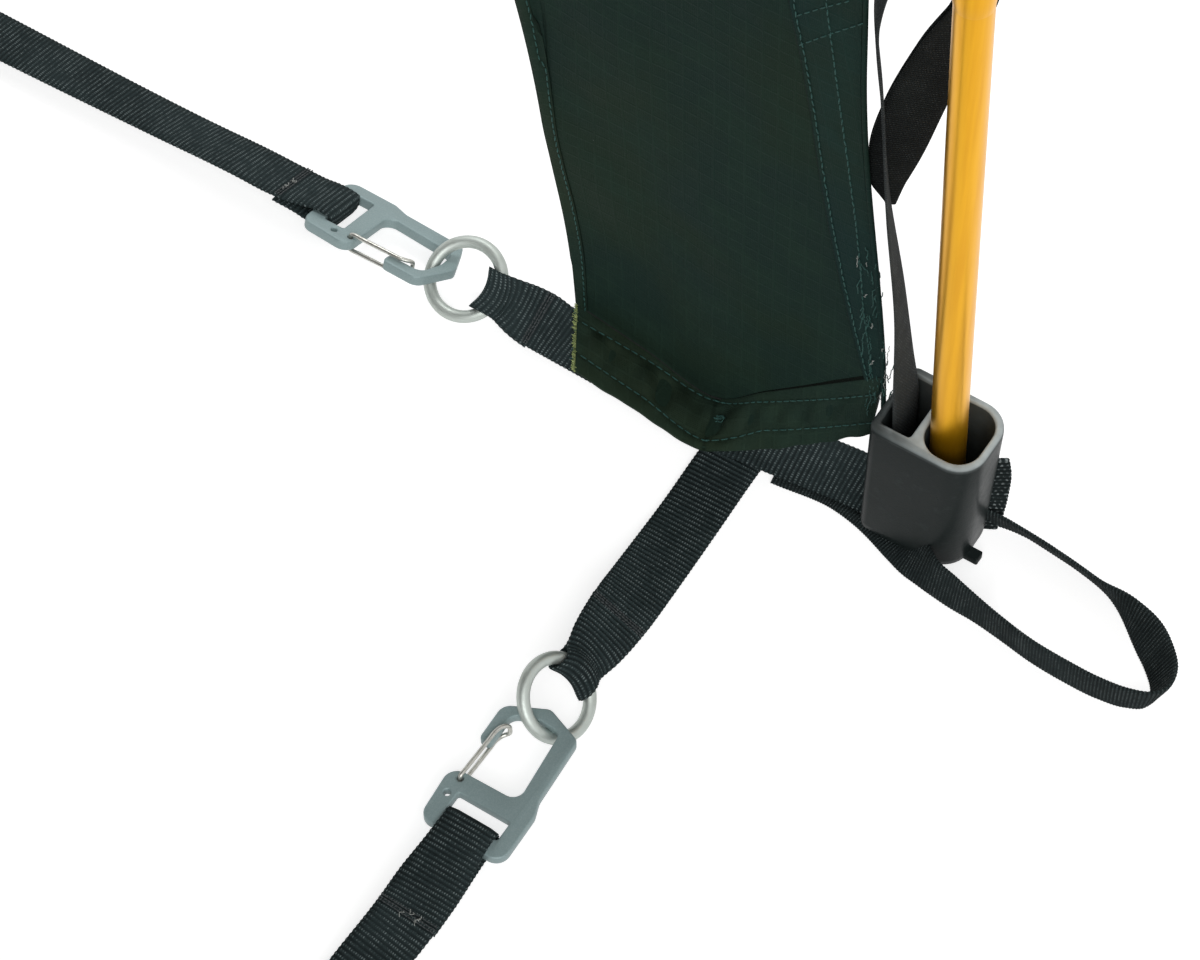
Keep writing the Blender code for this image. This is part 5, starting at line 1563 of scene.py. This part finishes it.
def hem_lines(turn):
    """The two stitch rows of the hem band on both its faces, each in two parts that meet at the mitre."""
    before, after = np.linspace(0.12, 2.0, 40), np.linspace(2.03, 4.93, 60)
    place = np.concatenate([before, after])
    lines = []
    for table in (HEM_ROW_ONE, HEM_ROW_TWO):
        share = row_share(table, place)
        for side in (1, -1):
            spots = hem_at(place, share) + hem_normal(place, share) * side * HEM_RISE * 0.92
            lines += [spots[:len(before)] * turn, spots[len(before):] * turn]
    return lines


def fold_shadow_lines(turn):
    """A painted shadow under the hem's upper fold: a dark line on both its faces."""
    place, top = np.linspace(0.04, 2.1, 60), 0.985 * np.ones(60)
    line, normal = hem_at(place, top), hem_normal(place, top)
    return [(line + normal * face * HEM_RISE * 0.85) * turn for face in (1, -1)]


def box_lines(wall, turn):
    """Two stitch rows that cross the leg above its seam."""
    lines = []
    for line in BOX_ROWS:
        spots = flow([(*p, 0.0) for p in line], 2.0)[:, :2]
        x = np.interp(spots[:, 1] * MM, RIDGE[:, 2], RIDGE[:, 0])
        laid = on_wall(wall, np.stack([x, JY - spots[:, 0] * MM, spots[:, 1] * MM], axis=1) * turn)
        lines += [laid + np.array((face * (SEAM_RISE + 0.0001), 0.0, 0.0)) for face in (1, -1)]
    return lines


def squiggle(rng, start, reach, points=7, pull=(0.0, 0.0, 0.0)):
    """A loose thread that wanders from its start."""
    steps = rng.normal(0, reach / points, (points, 3)) + np.array(pull) / points
    return start + np.concatenate([np.zeros((1, 3)), np.cumsum(steps, axis=0)])


def leg_threads(rng, turn):
    """Threads of one leg: the hem's frayed end, the loose ones, and the pale ones among them."""
    frayed, loose, pale = [], [], []
    end = unit(HEM_LINE[0, :3] - HEM_LINE[1, :3])
    for _ in range(230):
        u = rng.uniform(-0.02, 1.0, 1)
        n = hem_normal(np.array((0.02,)), u)[0]
        start = hem_at(np.array((0.0,)), u)[0] + n * rng.uniform(-0.0008, 0.0008) - end * 0.0004
        frayed.append(squiggle(rng, start, 0.0006, 4, end * rng.uniform(0.0006, 0.0019)) * turn)
    for _ in range(9):
        start = hem_at(np.array((0.02,)), rng.uniform(0.0, 0.9, 1))[0]
        loose.append(squiggle(rng, start, 0.0016, 8, end * 0.0022) * turn)
    for k in range(64):
        spot = ridge_at(RIDGE[:, 2], rng.uniform(0.052, 0.126))
        spot = spot + np.array((rng.uniform(-0.0016, 0.0012), rng.uniform(-0.0058, 0.0016), 0.0))
        line = squiggle(rng, spot, 0.0026, 9, (0.0, 0.0, rng.uniform(-0.012, 0.012))) * turn
        (pale if k % 5 == 0 else loose).append(line)
    place, share = np.array((2.3,)), np.array((0.6,))
    knot = hem_at(place, share)[0] - hem_normal(place, share)[0] * 0.0013
    for _ in range(7):
        loose.append(squiggle(rng, knot, 0.0018, 8, (-0.0012, -0.0024, 0.0)) * turn)
    return frayed, loose, pale


BAND = hem_band(31)


def trims_of(wall, along, side, columns):
    """The bands, seams, stitches and threads that ride with a wall."""
    bands, seams, edges, lines, far_lines, folds = [], [], [], [], [], []
    frayed, loose, pale = [], [], []
    for other in (1, -1):
        turn = np.array((side, other, 1)) if along == "y" else np.array((other, side, 1))
        seams.append(seam(wall, along, turn, lines, far_lines))
        edges.append(edge_hem(wall, along, turn, columns, lines, far_lines))
        if along == "x":
            continue
        bands.append(BAND.placed(BAND.verts * turn, turn[0] * turn[1] < 0))
        lines += hem_lines(turn)
        # Painted shadow: dark lines under the hem's fold
        folds += fold_shadow_lines(turn)
        threads = leg_threads(np.random.default_rng(40 + 2 * side + other), turn)
        for kept, new in zip((frayed, loose, pale), threads):
            kept.extend(new)
        lines += box_lines(wall, turn)
        leg = RIDGE[(RIDGE[:, 2] > 0.04) & (RIDGE[:, 2] < DOOR_FOOT_Z)]
        cord = tube(flow(leg + np.array((0.0, -0.0003, 0.0)), 0.004) * turn, 0.0008, 8)
        seams += [ridge_web(turn), cord]
    trims = [piece(wall + "_seams", mesh_of("seams", joined(seams)), BINDING, creases=50),
             piece(wall + "_edge_hem", mesh_of("edge", joined(edges)), HEM, creases=50)]
    if bands:
        trims += [piece(wall + "_hem_band", mesh_of("hem", joined(bands)), HEM, creases=50),
                  strands(wall + "_frayed_ends", frayed, FRAYED, 0.13),
                  strands(wall + "_loose_threads", loose, TEAL, 0.16),
                  strands(wall + "_pale_threads", pale, PALE, 0.12),
                  strands(wall + "_fold_lines", folds, FOLD, 0.26)]
    if lines:
        trims.append(sewn(wall + "_stitches", lines, TEAL))
    return trims + [sewn(wall + "_long_stitches", far_lines, TEAL, 5.0, 4.2, 0.55, 0.08, 4)]


TRIMS = {wall: trims_of(wall, along, side, columns) for wall, along, side, columns, seed in WALL_TABLE}


# Floor, light and camera
def seen_directly(tree):
    """1 for a ray from the camera or by way of a mirror or clear stuff, else 0."""
    path = tree.nodes.new("ShaderNodeLightPath")
    level = path.outputs["Is Camera Ray"]
    for key in ("Is Glossy Ray", "Is Transmission Ray"):
        most = tree.nodes.new("ShaderNodeMath")
        most.operation = "MAXIMUM"
        tree.links.new(level, most.inputs[0])
        tree.links.new(path.outputs[key], most.inputs[1])
        level = most.outputs[0]
    return level


def floor_look():
    """Pale paper that glows only where it is seen directly, so that it stays white round the shadows."""
    mat = bpy.data.materials.new("floor_paper")
    mat.use_nodes = True
    tree = mat.node_tree
    shader = tree.nodes["Principled BSDF"]
    shader.inputs["Base Color"].default_value = (0.60, 0.60, 0.60, 1.0)
    shader.inputs["Roughness"].default_value = 0.9
    shader.inputs["Specular IOR Level"].default_value = 0.2
    off, glow = (tree.nodes.new("ShaderNodeEmission") for _ in range(2))
    off.inputs["Strength"].default_value, glow.inputs["Strength"].default_value = 0.0, 0.72
    pick, both = tree.nodes.new("ShaderNodeMixShader"), tree.nodes.new("ShaderNodeAddShader")
    tree.links.new(seen_directly(tree), pick.inputs[0])
    tree.links.new(off.outputs[0], pick.inputs[1])
    tree.links.new(glow.outputs[0], pick.inputs[2])
    tree.links.new(shader.outputs[0], both.inputs[0])
    tree.links.new(pick.outputs[0], both.inputs[1])
    tree.links.new(both.outputs[0], tree.nodes["Material Output"].inputs["Surface"])
    return mat


floor = bpy.data.objects.new("floor", bpy.data.meshes.new("floor"))
floor.data.from_pydata([(-14, -14, 0), (14, -14, 0), (14, 14, 0), (-14, 14, 0)], [], [(0, 1, 2, 3)])
floor.location.z = -0.0004
floor.data.materials.append(floor_look())
bpy.context.scene.collection.objects.link(floor)

world = bpy.data.worlds.new("studio")
bpy.context.scene.world = world
world.use_nodes = True
tree = world.node_tree
back = tree.nodes["Background"]
back.inputs["Color"].default_value = (1.0, 1.0, 1.0, 1.0)
SOFT = 0.47
ramp = tree.nodes.new("ShaderNodeMapRange")
tree.links.new(seen_directly(tree), ramp.inputs[0])
ramp.inputs["To Min"].default_value, ramp.inputs["To Max"].default_value = SOFT, 1.0
tree.links.new(ramp.outputs[0], back.inputs["Strength"])


def lamp(name, toward, energy, angle):
    data = bpy.data.lights.new(name, "SUN")
    data.energy, data.angle = energy, math.radians(angle)
    obj = bpy.data.objects.new(name, data)
    obj.rotation_mode = "QUATERNION"
    obj.rotation_quaternion = Vector(toward).to_track_quat("Z", "Y")
    bpy.context.scene.collection.objects.link(obj)


lamp("key", (-0.58, -0.40, 0.71), 1.3, 40)
lamp("back", (0.446, 0.286, 0.848), 0.65, 12)

# The camera sees the straps' meeting point at JUNCTION_PX; FOCAL is in pixels too, and DEPTH in metres
PHOTO_W, PHOTO_H, SENSOR_W = 1200, 960, 36.0
JUNCTION_PX = (747, 439)
FOCAL, DEPTH = 4060.0, 1.264
TURN, TIP = math.radians(-57.4), math.radians(58.0)
right = Vector((math.cos(TURN), math.sin(TURN), 0.0))
behind = Vector((math.sin(TURN) * math.cos(TIP), -math.cos(TURN) * math.cos(TIP), math.sin(TIP)))
over = behind.cross(right)
aside = (JUNCTION_PX[0] - PHOTO_W // 2) / FOCAL * DEPTH
above = (PHOTO_H // 2 - JUNCTION_PX[1]) / FOCAL * DEPTH
eye = Vector((JX, -JY, 0.0)) - right * aside - over * above + behind * DEPTH
data = bpy.data.cameras.new("camera")
data.sensor_width, data.lens = SENSOR_W, FOCAL * SENSOR_W / PHOTO_W
data.clip_start, data.clip_end = 0.01, 50.0
camera = bpy.data.objects.new("camera", data)
camera.matrix_world = Matrix(((right.x, over.x, behind.x, eye.x), (right.y, over.y, behind.y, eye.y),
                              (right.z, over.z, behind.z, eye.z), (0, 0, 0, 1)))
bpy.context.scene.collection.objects.link(camera)
bpy.context.scene.camera = camera
bpy.context.scene.view_settings.view_transform = "Standard"
